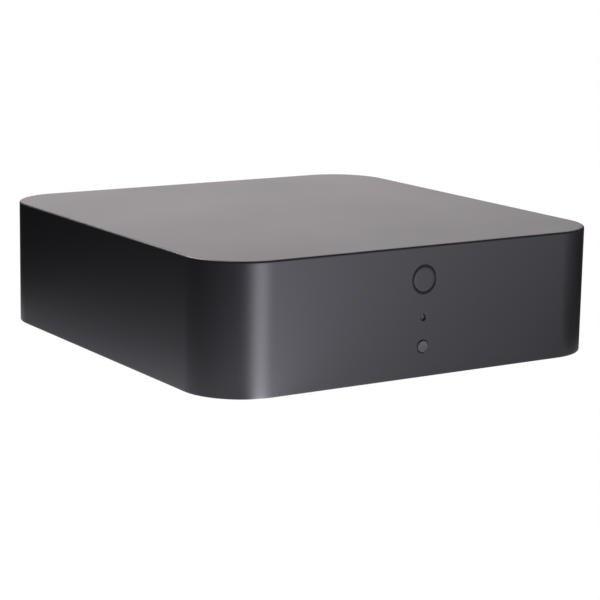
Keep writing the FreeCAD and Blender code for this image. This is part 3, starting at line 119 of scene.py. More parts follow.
SHELL_LOW, SHELL_HIGH = corners_of("top_shell")
FRONT_Y, REAR_Y = SHELL_LOW[1], SHELL_HIGH[1]
PANEL_OUT = corners_of("hdmi_shield")[1][1]
PANEL_T = 2.0 * MM
PANEL_IN = PANEL_OUT - PANEL_T


# Sizes and colours that a user can change


def length(name, millimetres, description):
    """A size, given in millimetres and kept in metres."""
    return FloatProperty(name=name, default=millimetres * MM, description=description, min=0.0, unit="LENGTH",
                         precision=5)


def colour(name, default, description):
    """A linear colour."""
    return FloatVectorProperty(name=name, default=default, description=description, subtype="COLOR",
                               size=3, min=0.0, max=1.0)


def number(name, default, description, most=1.0):
    """A plain number."""
    return FloatProperty(name=name, default=default, description=description, min=0.0, max=most)


class ShellSizes(bpy.types.PropertyGroup):
    """Sizes of the moulded case."""

    corner_radius: length("Corner radius", 18.5, "Radius of the four upright corners")
    top_edge: length("Top edge", 0.6, "Radius between the walls and the top")
    rim_edge: length("Rim edge", 0.35, "Radius at the bottom of the walls")
    side_wall: length("Side wall", 2.2, "Thickness of the four walls")
    top_wall: length("Top wall", 2.4, "Thickness of the top")
    window_width: length("Window width", 100.0, "Width of the window for the sockets")
    window_height: length("Window height", 30.0, "Height of the window for the sockets")
    window_corner: length("Window corner", 3.0, "Radius of the window's corners")
    window_low: length("Window foot", 5.0, "Height of the window's lower edge")
    window_edge: length("Window edge", 0.3, "Rounding of the window's outer edge")
    hole_edge: length("Hole edge", 0.12, "Rounding where a small hole meets the wall's face")
    corner_steps: IntProperty(name="Corner steps", default=28, min=8, max=64,
                              description="Facets in each upright corner")


class FrontSizes(bpy.types.PropertyGroup):
    """Sizes of the ring, the light and the button on the front."""

    button_radius: length("Button radius", 1.8, "Radius of the button's cap")
    button_hole: length("Button hole", 2.0, "Radius of the hole round the button")
    button_edge: length("Button edge", 0.25, "Rounding of the button's face")
    button_dish: length("Button dish", 0.1, "Depth of the hollow in the button's face")
    light_hole: length("Light hole", 1.0, "Radius of the hole for the light")
    light_radius: length("Light radius", 0.95, "Radius of the light guide's nose")
    ring_radius: length("Ring radius", 4.4, "Outer radius of the ring")
    ring_line: length("Ring line", 0.62, "Width of the ring's band")
    ring_fit: length("Ring fit", 0.02, "Gap between the ring and its groove")
    groove_depth: length("Groove depth", 0.6, "Depth of the ring's groove")


class FinishColours(bpy.types.PropertyGroup):
    """Colours and gloss of the finishes."""

    shell: colour("Shell", (0.022, 0.0215, 0.0245), "Satin moulded plastic of the case")
    shell_roughness: number("Shell roughness", 0.30, "Roughness of the case")
    grain_depth: number("Grain depth", 0.05, "Strength of the fine moulded grain")
    black_plastic: colour("Black plastic", (0.010, 0.010, 0.011), "Base cover, bay and socket bodies")
    rubber: colour("Rubber", (0.010, 0.010, 0.010), "Feet and leads")
    board: colour("Board", (0.004, 0.040, 0.017), "Solder mask of the boards")
    gold: colour("Gold", (0.83, 0.56, 0.20), "Plated contacts and jacks")
    nickel: colour("Nickel", (0.60, 0.58, 0.54), "Plated steel")


class StageLook(bpy.types.PropertyGroup):
    """Floor, lights and camera."""

    cool: colour("Cool light", (0.92, 0.90, 1.0), "Tint of the floor's glow")
    warm: colour("Warm light", (1.0, 0.935, 0.95), "Tint of the lights behind the case")
    lens: FloatProperty(name="Lens", default=120.68, min=20.0, description="Focal length in millimetres")
    distance: length("Distance", 658.75, "From the camera to the middle of the case")
    azimuth: number("Azimuth", 32.836, "Degrees that the camera stands to the left of the front", 180.0)
    elevation: number("Elevation", 10.676, "Degrees that the camera stands above the case's middle", 90.0)
    aim_azimuth: number("Aim azimuth", 33.016, "Degrees to the right that the camera looks", 180.0)
    aim_pitch: number("Aim pitch", 11.463, "Degrees down that the camera looks", 90.0)
    roll: number("Roll", 1.047, "Degrees that the camera is turned about its line of sight", 10.0)
    back_card: number("Back card", 0.412, "Power of the card behind that the top mirrors, in watts", 500.0)
    rear_fill: number("Rear fill", 14.0, "Power of the light at the back left, in watts", 500.0)
    surroundings: number("Surroundings", 0.13, "Strength of the light from all round", 5.0)
    rim_glow: number("Rim glow", 0.40, "Light from the floor close round the case", 20.0)
    under_glow: number("Under glow", 0.7, "Light from the floor under the case", 20.0)
    corner_glow: number("Corner glow", 0.95, "Light from the floor round the near corner", 20.0)
    lane_glow: number("Lane glow", 5.8, "Light from the lane of floor in front of the near corner", 20.0)
    front_glow: number("Front glow", 1.42, "Light from the floor in front of the front wall", 20.0)
    side_glow: number("Side glow", 0.48, "Light from the floor along the foot of the front wall", 20.0)
    rear_glow: number("Rear glow", 0.8, "Light from the floor behind the case", 20.0)


# Surfaces as arrays: every function gives points, faces and the distance along its profile


def grid(points, wrap_rows=False, wrap_columns=False, along=None):
    """A surface from rows x columns points, with a quad between each two rows and columns that follow."""
    rows, columns = points.shape[:2]
    i = np.arange(rows if wrap_rows else rows - 1)
    j = np.arange(columns if wrap_columns else columns - 1)
    a, b = np.meshgrid(i, j, indexing="ij")
    c, d = (a + 1) % rows, (b + 1) % columns
    quads = np.stack([a * columns + b, a * columns + d, c * columns + d, c * columns + b], axis=-1)
    along = np.zeros(rows) if along is None else along
    return points.reshape(-1, 3), quads.reshape(-1, 4).tolist(), np.repeat(along, columns)


def capped(loops):
    """Loops of as many points each, joined to a tube with a flat cap at both ends."""
    points, quads, along = grid(loops, wrap_columns=True)
    count, last = loops.shape[1], len(points) - loops.shape[1]
    return points, quads + [list(range(count)), list(range(last, last + count))], along


def joined(*surfaces):
    """Several closed surfaces as one."""
    points, groups, alongs = zip(*surfaces)
    starts = np.cumsum([0] + [len(part) for part in points])
    faces = [[k + int(start) for k in face] for group, start in zip(groups, starts) for face in group]
    return np.vstack(points), faces, np.concatenate(alongs)


def distance_along(profile):
    """How far each point of a polyline lies from its start, measured along it."""
    steps = np.linalg.norm(np.diff(profile, axis=0), axis=1)
    return np.concatenate([[0.0], np.cumsum(steps)])


def rounded(profile, radii, steps=4):
    """A polyline whose inner corners are replaced by arcs.

    An arc starts radius * tan(turn / 2) before its corner and turns about a centre that lies one radius to
    the side. A radius of zero leaves the corner sharp.
    """
    points = np.array(profile, float)
    out = [points[:1]]
    for before, corner, after, radius in zip(points, points[1:], points[2:], radii):
        into, away = corner - before, after - corner
        into, away = into / np.linalg.norm(into), away / np.linalg.norm(away)
        turn = math.atan2(into[0] * away[1] - into[1] * away[0], float(into @ away))
        if radius <= 0:
            out.append(corner[None])
            continue
        start = corner - into * radius * math.tan(abs(turn) / 2)
        spoke = -np.array([-into[1], into[0]]) * math.copysign(radius, turn)
        t = np.linspace(0, turn, steps + 1)[:, None]
        out.append(start - spoke + spoke * np.cos(t) + np.array([-spoke[1], spoke[0]]) * np.sin(t))
    out.append(points[-1:])
    return np.vstack(out)


def closed_profile(corners, radii, steps=4):
    """A closed polygon whose corners are replaced by arcs."""
    corners = np.array(corners, float)
    seam = (corners[0] + corners[-1]) / 2
    return rounded([seam, *corners, seam], radii, steps)[:-1]


def lathe(profile, centre, axis="y", segments=48, closed=True):
    """A surface of revolution: the profile's point (along, radius) turned by t lies along on the axis and
    radius * (cos t, sin t) across it. A closed profile makes a ring, and an open one ends on the axis."""
    profile = np.asarray(profile, float)
    turn = np.linspace(0, 2 * np.pi, segments, endpoint=False)
    first, second = profile[:, 1:] * np.cos(turn), profile[:, 1:] * np.sin(turn)
    line = np.broadcast_to(profile[:, :1], first.shape)
    order = {"x": (line, first, second), "y": (second, line, first), "z": (first, second, line)}[axis]
    points = np.stack(order, axis=-1) + np.asarray(centre, float)
    return grid(points, wrap_rows=closed, wrap_columns=True, along=distance_along(profile))


def extent(box, axis="y"):
    """Where a round solid starts and ends along its axis, and its radius, from its box."""
    low, high = box
    along, across = {"x": (0, 1), "y": (1, 0), "z": (2, 0)}[axis]
    return low[along], high[along], (high[across] - low[across]) / 2


def stepped(start, *steps):
    """Corners of a turned outline: from the axis, along each step's radius to the step's end, and back."""
    ends, radii = zip(*steps)
    radii = (0.0, *radii, 0.0)
    return [(place, radius) for k, place in enumerate((start, *ends)) for radius in radii[k:k + 2]]


def spun(box, corners, edges, axis="y", segments=48, arcs=4, ring=False, face=None):
    """A turned piece round a box's middle, from corners of (along, radius), rounded by edges in millimetres.

    A ring leaves out the corners on the axis. A face is a row of points in the place of the first corner.
    """
    centre, edges = sum(box) / 2, np.array(edges) * MM
    centre["xyz".index(axis)] = 0.0
    if ring:
        profile = closed_profile([corner for corner in corners if corner[1] > 0], edges, arcs)
    else:
        profile = rounded(corners, edges, arcs)
    if face is not None:
        profile = np.vstack([face, profile[1:]])
    return lathe(profile, centre, axis, segments, closed=ring)


def round_bar(box, edge, axis="y", segments=48):
    """A round bar that fills a box, with rounded ends."""
    start, end, radius = extent(box, axis)
    return spun(box, stepped(start, (end, radius)), (edge, edge), axis, segments)


def rounded_loop(half, radius, steps=4):
    """Points of a rounded rectangle, anticlockwise: each corner's centre + radius * (cos t, sin t)."""
    radius = max(min(radius, *half), LOOP_CORNER)
    turn = (np.arange(4)[:, None] * np.pi / 2 + np.linspace(0, np.pi / 2, steps + 1)).reshape(-1)
    sign = np.array([(1, 1), (-1, 1), (-1, -1), (1, -1)], float).repeat(steps + 1, axis=0)
    return sign * (np.array(half) - radius) + radius * np.stack([np.cos(turn), np.sin(turn)], axis=-1)


def quarter_round(edge, steps=3):
    """A rounded edge as (out, deep) for a from 0 to 90 degrees: edge * (1 - sin a) and edge * (1 - cos a)."""
    turn = np.linspace(0, np.pi / 2, steps + 1)
    return np.stack([edge * (1 - np.sin(turn)), edge * (1 - np.cos(turn))], axis=-1)


def pillow(box, corner, edge, axis=2):
    """A block with rounded corners round one axis and rounded edges at both its ends.

    At an end the outline is drawn in by the out of quarter_round at the height of its deep. The middle of
    the block has the full outline, and flat caps close both ends. On a small block the edge is held back.
    """
    low, high = np.array(box, float)
    across = [k for k in range(3) if k != axis]
    half, middle = (high - low)[across] / 2, (high + low)[across] / 2
    edge = min(edge, half.min() * 0.9, (high - low)[axis] / 2.1)
    inset, lift = quarter_round(edge).T
    loops = [rounded_loop(half - drawn, max(corner - drawn, BLOCK_CORNER)) + middle
             for drawn in (*inset, *inset[::-1])]
    points = np.zeros((len(loops), len(loops[0]), 3))
    points[:, :, across] = loops
    points[:, :, axis] = np.concatenate([low[axis] + lift, high[axis] - lift[::-1]])[:, None]
    return capped(points)


def sheet_sleeve(outer, inner, start, end, lip):
    """A folded sheet-metal sleeve along Y: two outlines carried from one depth to the other, and joined at
    the open end by a lip, which draws the outer outline in and the inner one out."""
    middle = outer.mean(axis=0)

    def ring(outline, depth, grow):
        spoke = outline - middle
        moved = outline + grow * spoke / np.linalg.norm(spoke, axis=1)[:, None]
        return np.stack([moved[:, 0], np.full(len(moved), depth), moved[:, 1]], axis=-1)

    bend = lip * 0.3
    steps = [(start, 0), (end - lip, 0), (end - bend, bend), (end, lip)]
    rings = [ring(outer, depth, -drawn) for depth, drawn in steps]
    rings += [ring(inner, depth, drawn) for depth, drawn in reversed(steps)]
    return grid(np.array(rings), wrap_rows=True, wrap_columns=True)


def swept(points, radius, sides=12):
    """A wire along a line that is never parallel to X: at each point a circle in the plane square to the
    line's tangent, or for four sides the square round it."""
    points = np.asarray(points, float)
    tangent = np.gradient(points, axis=0)
    tangent /= np.linalg.norm(tangent, axis=1)[:, None]
    across = np.cross(tangent, np.array([1.0, 0, 0]))
    across /= np.linalg.norm(across, axis=1)[:, None]
    other = np.cross(tangent, across)
    turn = np.linspace(0, 2 * np.pi, sides, endpoint=False)
    if sides == 4:
        turn, radius = turn + np.pi / 4, radius * math.sqrt(2)
    turned_out = np.cos(turn)[:, None] * across[:, None] + np.sin(turn)[:, None] * other[:, None]
    return capped(points[:, None] + radius * turned_out)


def linked(name, data):
    """A new object at the origin, in the scene."""
    made = bpy.data.objects.new(name, data)
    bpy.context.scene.collection.objects.link(made)
    return made


def place(piece, node):
    """Puts a finished piece on the frame in the place of its node, with its finish and its body."""
    piece.data.materials.clear()
    piece.data.materials.append(finish_of(SLOT_OF[node]))
    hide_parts(node)
    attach(piece, BODY_OF[node])


def make(node, *surfaces):
    """A piece from surfaces in the place of a node: welded, closed outwards, smooth but for its sharp edges.

    The distance along the profile is kept in the attribute "along", which turned finishes read.
    """
    points, faces, along = joined(*surfaces)
    mesh = bpy.data.meshes.new(node + "_formed")
    mesh.from_pydata(points.tolist(), [], faces)
    mesh.attributes.new("along", "FLOAT", "POINT").data.foreach_set("value", along.astype(np.float32))
    work = welded(mesh, SURFACE_WELD)
    bmesh.ops.dissolve_degenerate(work, dist=LEAST_EDGE, edges=work.edges)
    bmesh.ops.recalc_face_normals(work, faces=work.faces)
    work.to_mesh(mesh)
    work.free()
    mesh.shade_smooth()
    mesh.set_sharp_from_angle(angle=SURFACE_SHARP)
    place(linked(mesh.name, mesh), node)


def each(form, *nodes, **sizes):
    """Pieces in the place of nodes, each of them formed solid by solid from the solid's box."""
    for node in nodes:
        make(node, *[form(box, **sizes) for box in solids_of(node)])


def soften(width, *nodes):
    """Welded copies of nodes, whose edges get a small bevel. A face is smooth where it meets another at a
    small angle, as round a bore, and flat elsewhere."""
    for node in nodes:
        mesh = NODES[node].data.copy()
        if "custom_normal" in mesh.attributes:
            mesh.attributes.remove(mesh.attributes["custom_normal"])
        work = welded(mesh, FRAME_WELD)
        if width:
            bmesh.ops.dissolve_limit(work, angle_limit=FLAT / 4, verts=[], edges=work.edges)
        for face in work.faces:
            face.smooth = any(FLAT < edge.calc_face_angle(0.0) < FRAME_SHARP for edge in face.edges)
        work.to_mesh(mesh)
        work.free()
        mesh.set_sharp_from_angle(angle=FRAME_SHARP)
        piece = linked(node + "_formed", mesh)
        if width:
            edges = piece.modifiers.new("edges", "BEVEL")
            edges.width, edges.segments, edges.use_clamp_overlap = width, 2, False
            edges.limit_method, edges.angle_limit = "ANGLE", FRAME_SHARP
        place(piece, node)


# Shader node groups


def add(tree, kind, inputs=(), **settings):
    """A node with its settings, and its inputs by name or index: a value, or a socket to link from."""
    made = tree.nodes.new("ShaderNode" + kind)
    for key, value in settings.items():
        setattr(made, key, value)
    for key, value in dict(inputs).items():
        if isinstance(value, bpy.types.NodeSocket):
            tree.links.new(value, made.inputs[key])
        else:
            made.inputs[key].default_value = value
    return made


def new_group(name, inputs, outputs):
    """An empty shader group, and the sockets inside it. An input's default tells its kind: one number is a
    value, three are a vector and four a colour. An output is a value, unless it is the colour."""
    tree = bpy.data.node_groups.new(name, "ShaderNodeTree")
    for label, default in inputs.items():
        kind = {1: FLOAT, 3: VECTOR, 4: COLOUR}[np.size(default)]
        tree.interface.new_socket(name=label, in_out="INPUT", socket_type=kind).default_value = default
    for label in outputs:
        kind = COLOUR if label == "Colour" else FLOAT
        tree.interface.new_socket(name=label, in_out="OUTPUT", socket_type=kind)
    return tree, tree.nodes.new("NodeGroupInput").outputs, tree.nodes.new("NodeGroupOutput").inputs


def give(tree, inputs, **sockets):
    """Links sockets to a node's inputs by name, with _ for a space."""
    for name, socket in sockets.items():
        tree.links.new(socket, inputs[name.replace("_", " ")])


def maths(tree, operation, first, second=0.0):
    """One step of arithmetic with two values."""
    return add(tree, "Math", {0: first, 1: second}, operation=operation).outputs[0]


def times(tree, first, second):
    """Two values multiplied."""
    return maths(tree, "MULTIPLY", first, second)


def scaled(tree, vector, factor):
    """A colour or vector times a number."""
    return add(tree, "VectorMath", {0: vector, 1: factor}, operation="MULTIPLY").outputs[0]


def remap(tree, value, low, high):
    """A value from 0 to 1 carried to another range."""
    return add(tree, "MapRange", {"Value": value, "To Min": low, "To Max": high}).outputs["Result"]


def blend_colour(tree, factor, first, second):
    """Two colours mixed by a factor."""
    return add(tree, "Mix", {0: factor, 6: first, 7: second}, data_type="RGBA").outputs[2]


def split(tree, vector):
    """The three coordinates of a vector."""
    return add(tree, "SeparateXYZ", {0: vector}).outputs


def noise(tree, scale, detail, **inputs):
    """The grey value of a noise texture, in space or along a line W."""
    return add(tree, "TexNoise", {"Scale": scale, "Detail": detail, **inputs},
               noise_dimensions="1D" if "W" in inputs else "3D").outputs["Fac"]


# The kinds of a group's sockets, and two values for them.
FLOAT, VECTOR, COLOUR = "NodeSocketFloat", "NodeSocketVector", "NodeSocketColor"
ORIGIN, WHITE = (0.0, 0.0, 0.0), (1.0, 1.0, 1.0, 1.0)
# How rolled metal's streaks are drawn out: in the direction of the sockets, or alike in all directions.
LONGWAYS, EVEN = (2500.0, 120.0, 2500.0), (900.0, 900.0, 900.0)


def grain_group(name):
    """Fine moulded grain with a slow unevenness, for a bump, a colour and a roughness."""
    inputs = {"Place": ORIGIN, "Grain Scale": 4200.0, "Drift Scale": 26.0, "Colour": WHITE, "Roughness": 0.4}
    tree, source, out = new_group(name, inputs, ("Height", "Colour", "Roughness"))
    fine = noise(tree, source["Grain Scale"], 2.0, Vector=source["Place"])
    slow = noise(tree, source["Drift Scale"], 3.0, Vector=source["Place"])
    shade = times(tree, remap(tree, fine, 0.9, 1.1), remap(tree, slow, 0.94, 1.06))
    give(tree, out, Height=fine, Colour=scaled(tree, source["Colour"], shade),
         Roughness=times(tree, source["Roughness"], remap(tree, slow, 0.93, 1.07)))
    return tree


def turned_group(name):
    """Lathe marks that run round a turned part: noise by the distance along the profile alone."""
    inputs = {"Along": 0.0, "Mark Scale": 9000.0, "Roughness": 0.25}
    tree, source, out = new_group(name, inputs, ("Height", "Roughness"))
    marks = noise(tree, source["Mark Scale"], 3.0, W=source["Along"])
    give(tree, out, Height=marks, Roughness=times(tree, source["Roughness"], remap(tree, marks, 0.8, 1.2)))
    return tree


def rolled_group(name):
    """Rolled and plated sheet: streaks drawn out along one axis, under a cloudy plating."""
    inputs = {"Place": ORIGIN, "Stretch": LONGWAYS, "Colour": WHITE, "Roughness": 0.3}
    tree, source, out = new_group(name, inputs, ("Height", "Colour", "Roughness"))
    streaks = noise(tree, 1.0, 3.0, Vector=scaled(tree, source["Place"], source["Stretch"]))
    cloud = noise(tree, 180.0, 4.0, Vector=source["Place"])
    uneven = times(tree, remap(tree, streaks, 0.8, 1.2), remap(tree, cloud, 0.8, 1.25))
    give(tree, out, Height=streaks, Colour=scaled(tree, source["Colour"], remap(tree, cloud, 0.9, 1.06)),
         Roughness=times(tree, source["Roughness"], uneven))
    return tree


def artwork_group(name):
    """A circuit board's face: copper runs under the mask, whose direction changes by blocks, and bare
    tinned pads, which are metal and smoother than the mask."""
    inputs = {"Place": ORIGIN, "Mask Colour": WHITE, "Run Colour": WHITE, "Pad Colour": WHITE}
    tree, source, out = new_group(name, inputs, ("Height", "Colour", "Roughness", "Metal"))
    spot = source["Place"]
    x, y, _ = split(tree, spot)
    blocks = add(tree, "TexVoronoi", {"Vector": spot, "Scale": 95.0}, distance="CHEBYCHEV")
    shade = add(tree, "SeparateColor", {0: blocks.outputs["Color"]}).outputs[0]
    way = maths(tree, "GREATER_THAN", shade, 0.5)
    across = add(tree, "Mix", {0: way, 2: x, 3: y}).outputs[0]
    runs = maths(tree, "LESS_THAN", maths(tree, "FRACT", times(tree, across, 900.0)), 0.45)
    dots = add(tree, "TexVoronoi", {"Vector": spot, "Scale": 330.0})
    pads = maths(tree, "LESS_THAN", dots.outputs["Distance"], 0.13)
    under = blend_colour(tree, runs, source["Mask Colour"], source["Run Colour"])
    give(tree, out, Height=maths(tree, "MAXIMUM", runs, pads), Roughness=remap(tree, pads, 0.42, 0.28),
         Metal=pads, Colour=blend_colour(tree, pads, under, source["Pad Colour"]))
    return tree


GROUPS = {"Moulded grain": grain_group, "Turned marks": turned_group, "Rolled sheet": rolled_group,
          "Board artwork": artwork_group}


def group_of(name):
    """A shader group, built the first time it is asked for."""
    return bpy.data.node_groups.get(name) or GROUPS[name](name)


# Finishes


def new_finish(name, **values):
    """A material whose shader has the given constant values on its own sockets."""
    material = bpy.data.materials.new(name)
    material.use_nodes = True
    tree = material.node_tree
    shader = tree.nodes["Principled BSDF"]
    for key, value in values.items():
        shader.inputs[key.replace("_", " ")].default_value = value
    return material, tree, shader.inputs


def object_place(tree):
    """The object's own coordinates."""
    return add(tree, "TexCoord").outputs["Object"]


def bump(tree, height, strength, depth):
    """A normal from a height."""
    return add(tree, "Bump", {"Height": height, "Strength": strength, "Distance": depth}).outputs[0]


# What a shared group's outputs feed on the shader.
FEEDS = {"Colour": "Base Color", "Roughness": "Roughness", "Metal": "Metallic"}


def patterned(name, pattern, values, strength, depth, **constants):
    """A material that takes from a shared group what that gives: colour, roughness, metal and relief."""
    material, tree, inputs = new_finish(name, **constants)
    group = add(tree, "Group", values, node_tree=group_of(pattern))
    if "Along" in group.inputs:
        along = add(tree, "Attribute", attribute_name="along").outputs["Fac"]
        tree.links.new(along, group.inputs["Along"])
    else:
        tree.links.new(object_place(tree), group.inputs["Place"])
    for label, target in FEEDS.items():
        if label in group.outputs:
            tree.links.new(group.outputs[label], inputs[target])
    tree.links.new(bump(tree, group.outputs["Height"], strength, depth), inputs["Normal"])
    return material


def moulded(name, tint, roughness, grain=4200.0, strength=0.05, coat=0.0):
    """Moulded plastic or rubber with a fine grain."""
    values = {"Grain Scale": grain, "Colour": (*tint, 1), "Roughness": roughness}
    return patterned(name, "Moulded grain", values, strength, 0.2 * MM, IOR=1.5, Coat_Weight=coat)


def turned(name, tint, roughness, strength):
    """Turned metal with fine marks round its axis."""
    return patterned(name, "Turned marks", {"Roughness": roughness}, strength, 0.03 * MM,
                     Base_Color=(*tint, 1), Metallic=1.0)


def rolled(name, tint, roughness, stretch=LONGWAYS):
    """Rolled or drawn metal with streaks along one axis."""
    values = {"Stretch": stretch, "Colour": (*tint, 1), "Roughness": roughness}
    return patterned(name, "Rolled sheet", values, 0.08, 0.05 * MM, Metallic=1.0)


def circuit_board(name, tint):
    """Green solder mask over copper runs, with bare tinned pads."""
    values = {"Mask Colour": (*tint, 1), "Run Colour": (*[min(1.0, c * 2.2) for c in tint], 1),
              "Pad Colour": (0.62, 0.60, 0.54, 1)}
    return patterned(name, "Board artwork", values, 0.4, 0.05 * MM, Coat_Weight=0.4, Coat_Roughness=0.15)


def clear_plastic(name):
    """Clear moulded acrylic, faintly hazy."""
    material, tree, inputs = new_finish(name, Base_Color=(0.55, 0.58, 0.60, 1), IOR=1.49,
                                        Transmission_Weight=0.95)
    haze = noise(tree, 900.0, 2.0, Vector=object_place(tree))
    give(tree, inputs, Roughness=remap(tree, haze, 0.06, 0.16))
    return material


def sleeved_can(name):
    """A capacitor's can: bare metal on top, a plain plastic sleeve round its side."""
    material, tree, inputs = new_finish(name, IOR=1.5)
    facing = split(tree, add(tree, "NewGeometry").outputs["Normal"])
    top = maths(tree, "GREATER_THAN", facing[2], 0.7)
    cloud = noise(tree, 300.0, 3.0, Vector=object_place(tree))
    sleeve = scaled(tree, (0.012, 0.014, 0.020), remap(tree, cloud, 0.8, 1.2))
    give(tree, inputs, Base_Color=blend_colour(tree, top, sleeve, (0.66, 0.66, 0.67, 1)), Metallic=top,
         Roughness=remap(tree, cloud, 0.24, 0.40))
    return material


def ribbon_film(name):
    """A pale laminated film with flat conductors along it."""
    material, tree, inputs = new_finish(name, IOR=1.55)
    wave = maths(tree, "FRACT", times(tree, split(tree, object_place(tree))[0], 1000.0))
    lines = maths(tree, "GREATER_THAN", wave, 0.5)
    give(tree, inputs, Base_Color=blend_colour(tree, lines, (0.78, 0.76, 0.70, 1), (0.50, 0.48, 0.43, 1)),
         Roughness=remap(tree, lines, 0.35, 0.28), Normal=bump(tree, lines, 0.3, 0.05 * MM))
    return material


def recipes():
    """How each slot's finish is made: the function, and what it is given after the name.

    For moulded that is the tint, roughness, scale and strength of the grain, and the clear coat.
    """
    own = bpy.context.scene.hub_finishes
    black, rubber = own.black_plastic, own.rubber
    return {
        "shell_plastic": (moulded, own.shell, own.shell_roughness, 4200.0, own.grain_depth),
        "base_plastic": (moulded, black, 0.55, 1800.0, 0.35),
        "panel_plastic": (moulded, black, 0.50, 1800.0, 0.35),
        "foot_rubber": (moulded, rubber, 0.75, 1200.0, 0.20),
        "black_steel": (rolled, (0.045, 0.045, 0.048), 0.42, EVEN),
        "zinc_steel": (rolled, (0.62, 0.62, 0.60), 0.28, EVEN),
        "ring_metal": (turned, (0.020, 0.020, 0.021), 0.10, 0.03),
        "clear_plastic": (clear_plastic,),
        "button_plastic": (moulded, (0.085, 0.085, 0.086), 0.40, 4200.0, 0.06),
        "switch_plastic": (moulded, black, 0.5),
        "light_diode": (moulded, (0.80, 0.78, 0.62), 0.2, 900.0, 0.02, 0.6),
        "circuit_board": (circuit_board, own.board),
        "ribbon_film": (ribbon_film,),
        "ribbon_socket": (moulded, (0.74, 0.71, 0.62), 0.4, 2500.0, 0.05),
        "jack_housing": (moulded, black, 0.46, 2600.0, 0.2),
        "gold_plate": (turned, own.gold, 0.20, 0.10),
        "core_red": (moulded, (0.50, 0.012, 0.012), 0.28, 2600.0, 0.04, 0.2),
        "core_white": (moulded, (0.76, 0.76, 0.73), 0.28, 2600.0, 0.04, 0.2),
        "core_orange": (moulded, (0.76, 0.17, 0.008), 0.28, 2600.0, 0.04, 0.2),
        "shutter_plastic": (moulded, (0.020, 0.020, 0.021), 0.42, 2600.0, 0.15),
        "spring_steel": (rolled, (0.58, 0.57, 0.55), 0.25, EVEN),
        "receiver_plastic": (moulded, (0.09, 0.006, 0.010), 0.15, 900.0, 0.02, 0.5),
        "nickel_steel": (rolled, own.nickel, 0.24),
        "socket_plastic": (moulded, black, 0.40, 3000.0, 0.10),
        "lamp_plastic": (moulded, (0.42, 0.52, 0.16), 0.22, 900.0, 0.03, 0.5),
        "wire_green": (moulded, (0.02, 0.22, 0.04), 0.45, 1500.0, 0.08),
        "chip_black": (moulded, (0.011, 0.011, 0.012), 0.58, 5200.0, 0.30),
        "pad_grey": (moulded, (0.30, 0.36, 0.42), 0.65, 1500.0, 0.20),
        "sink_aluminium": (rolled, (0.045, 0.045, 0.048), 0.44, (2200.0, 90.0, 90.0)),
        "pin_plastic": (moulded, (0.70, 0.70, 0.66), 0.35, 2600.0, 0.05),
        "tin_steel": (rolled, (0.63, 0.63, 0.61), 0.33, (140.0, 2200.0, 2200.0)),
        "aerial_film": (moulded, (0.34, 0.13, 0.02), 0.22, 700.0, 0.05, 0.6),
        "lead_black": (moulded, rubber, 0.42, 1500.0, 0.08),
        "capacitor_can": (sleeved_can,),
        "coil_ferrite": (moulded, (0.030, 0.030, 0.032), 0.62, 2200.0, 0.45),
        "relay_white": (moulded, (0.72, 0.70, 0.62), 0.30, 2600.0, 0.05),
    }


def finish_of(slot):
    """The material of a slot, built the first time it is asked for."""
    name = slot + "_finish"
    build, *values = recipes()[slot]
    return bpy.data.materials.get(name) or build(name, *values)


# The moulded case


# The wall is cut into cells: half the width of a front hole's cell and the steps across it, the raster of the
# heights, how far each cell reaches up and down from its middle, and how far the window's reaches past it.
CELL_HALF, CELL_STEPS, ROW_STEP = 6.0 * MM, 13, 0.1 * MM
CELL_REACH = {"front_button": 3.8 * MM, "light_guide": 3.0 * MM, "front_ring": 5.9 * MM}
WINDOW_SIDE, WINDOW_REACH = 2 * MM, 1 * MM
# Flat rings round a hole, before its edge: round a plain hole, round the groove, and inside the groove.
HOLE_RING, GROOVE_RING, INNER_RING = 0.6 * MM, 0.4 * MM, 1.2 * MM
# Rings on the ceiling, from its middle, and on the top, from its edge, in millimetres from the walls.
CEILING_RINGS, TOP_RINGS = (14, 8, 4), (1.6, 4, 9, 15)


class Skin:
    """The quads of a profile carried round an outline, while openings are cut in them."""

    def __init__(self, points):
        self.columns = points.shape[1]
        surface, quads, _ = grid(points, wrap_columns=True)
        self.points, self.size = [surface], len(surface)
        self.cells = np.array(quads).reshape(points.shape[0] - 1, self.columns, 4)
        self.kept = np.ones(self.cells.shape[:2], bool)
        self.faces = []

    def cut(self, first, last, left, right):
        """Takes out the cells between two rows and two columns. Gives their border from (first, left)."""
        low, high = min(first, last), max(first, last)
        self.kept[low:high, left:right] = False
        step = 1 if last > first else -1
        border = [first * self.columns + np.arange(left, right),
                  np.arange(first, last, step) * self.columns + right,
                  last * self.columns + np.arange(right, left, -1),
                  np.arange(last, first, -step) * self.columns + left]
        return np.concatenate(border)

    def ring(self, points):
        """Adds a loop of points and gives their indices."""
        self.points.append(points)
        self.size += len(points)
        return np.arange(self.size - len(points), self.size)

    def bridge(self, loops):
        """Quads between each loop and the next."""
        for a, b in zip(loops, loops[1:]):
            self.faces += np.stack([a, np.roll(a, -1), np.roll(b, -1), b], axis=-1).tolist()

    def surface(self):
        """All that is left, as a surface."""
        points = np.vstack(self.points)
        return points, self.cells[self.kept].tolist() + self.faces, np.zeros(len(points))


def wall_columns(shell, reach):
    """How the front and rear walls are divided across: closely at the cells and at the window's ends."""
    half = shell.window_width / 2
    ends = np.linspace(half - shell.window_corner, half + WINDOW_SIDE, 6)
    right = np.concatenate([np.linspace(0, CELL_HALF, CELL_STEPS), np.linspace(CELL_HALF, ends[0], 8), ends,
                            [reach]])
    right = np.unique(np.round(right, 6))
    return np.concatenate([-right[:0:-1], right])


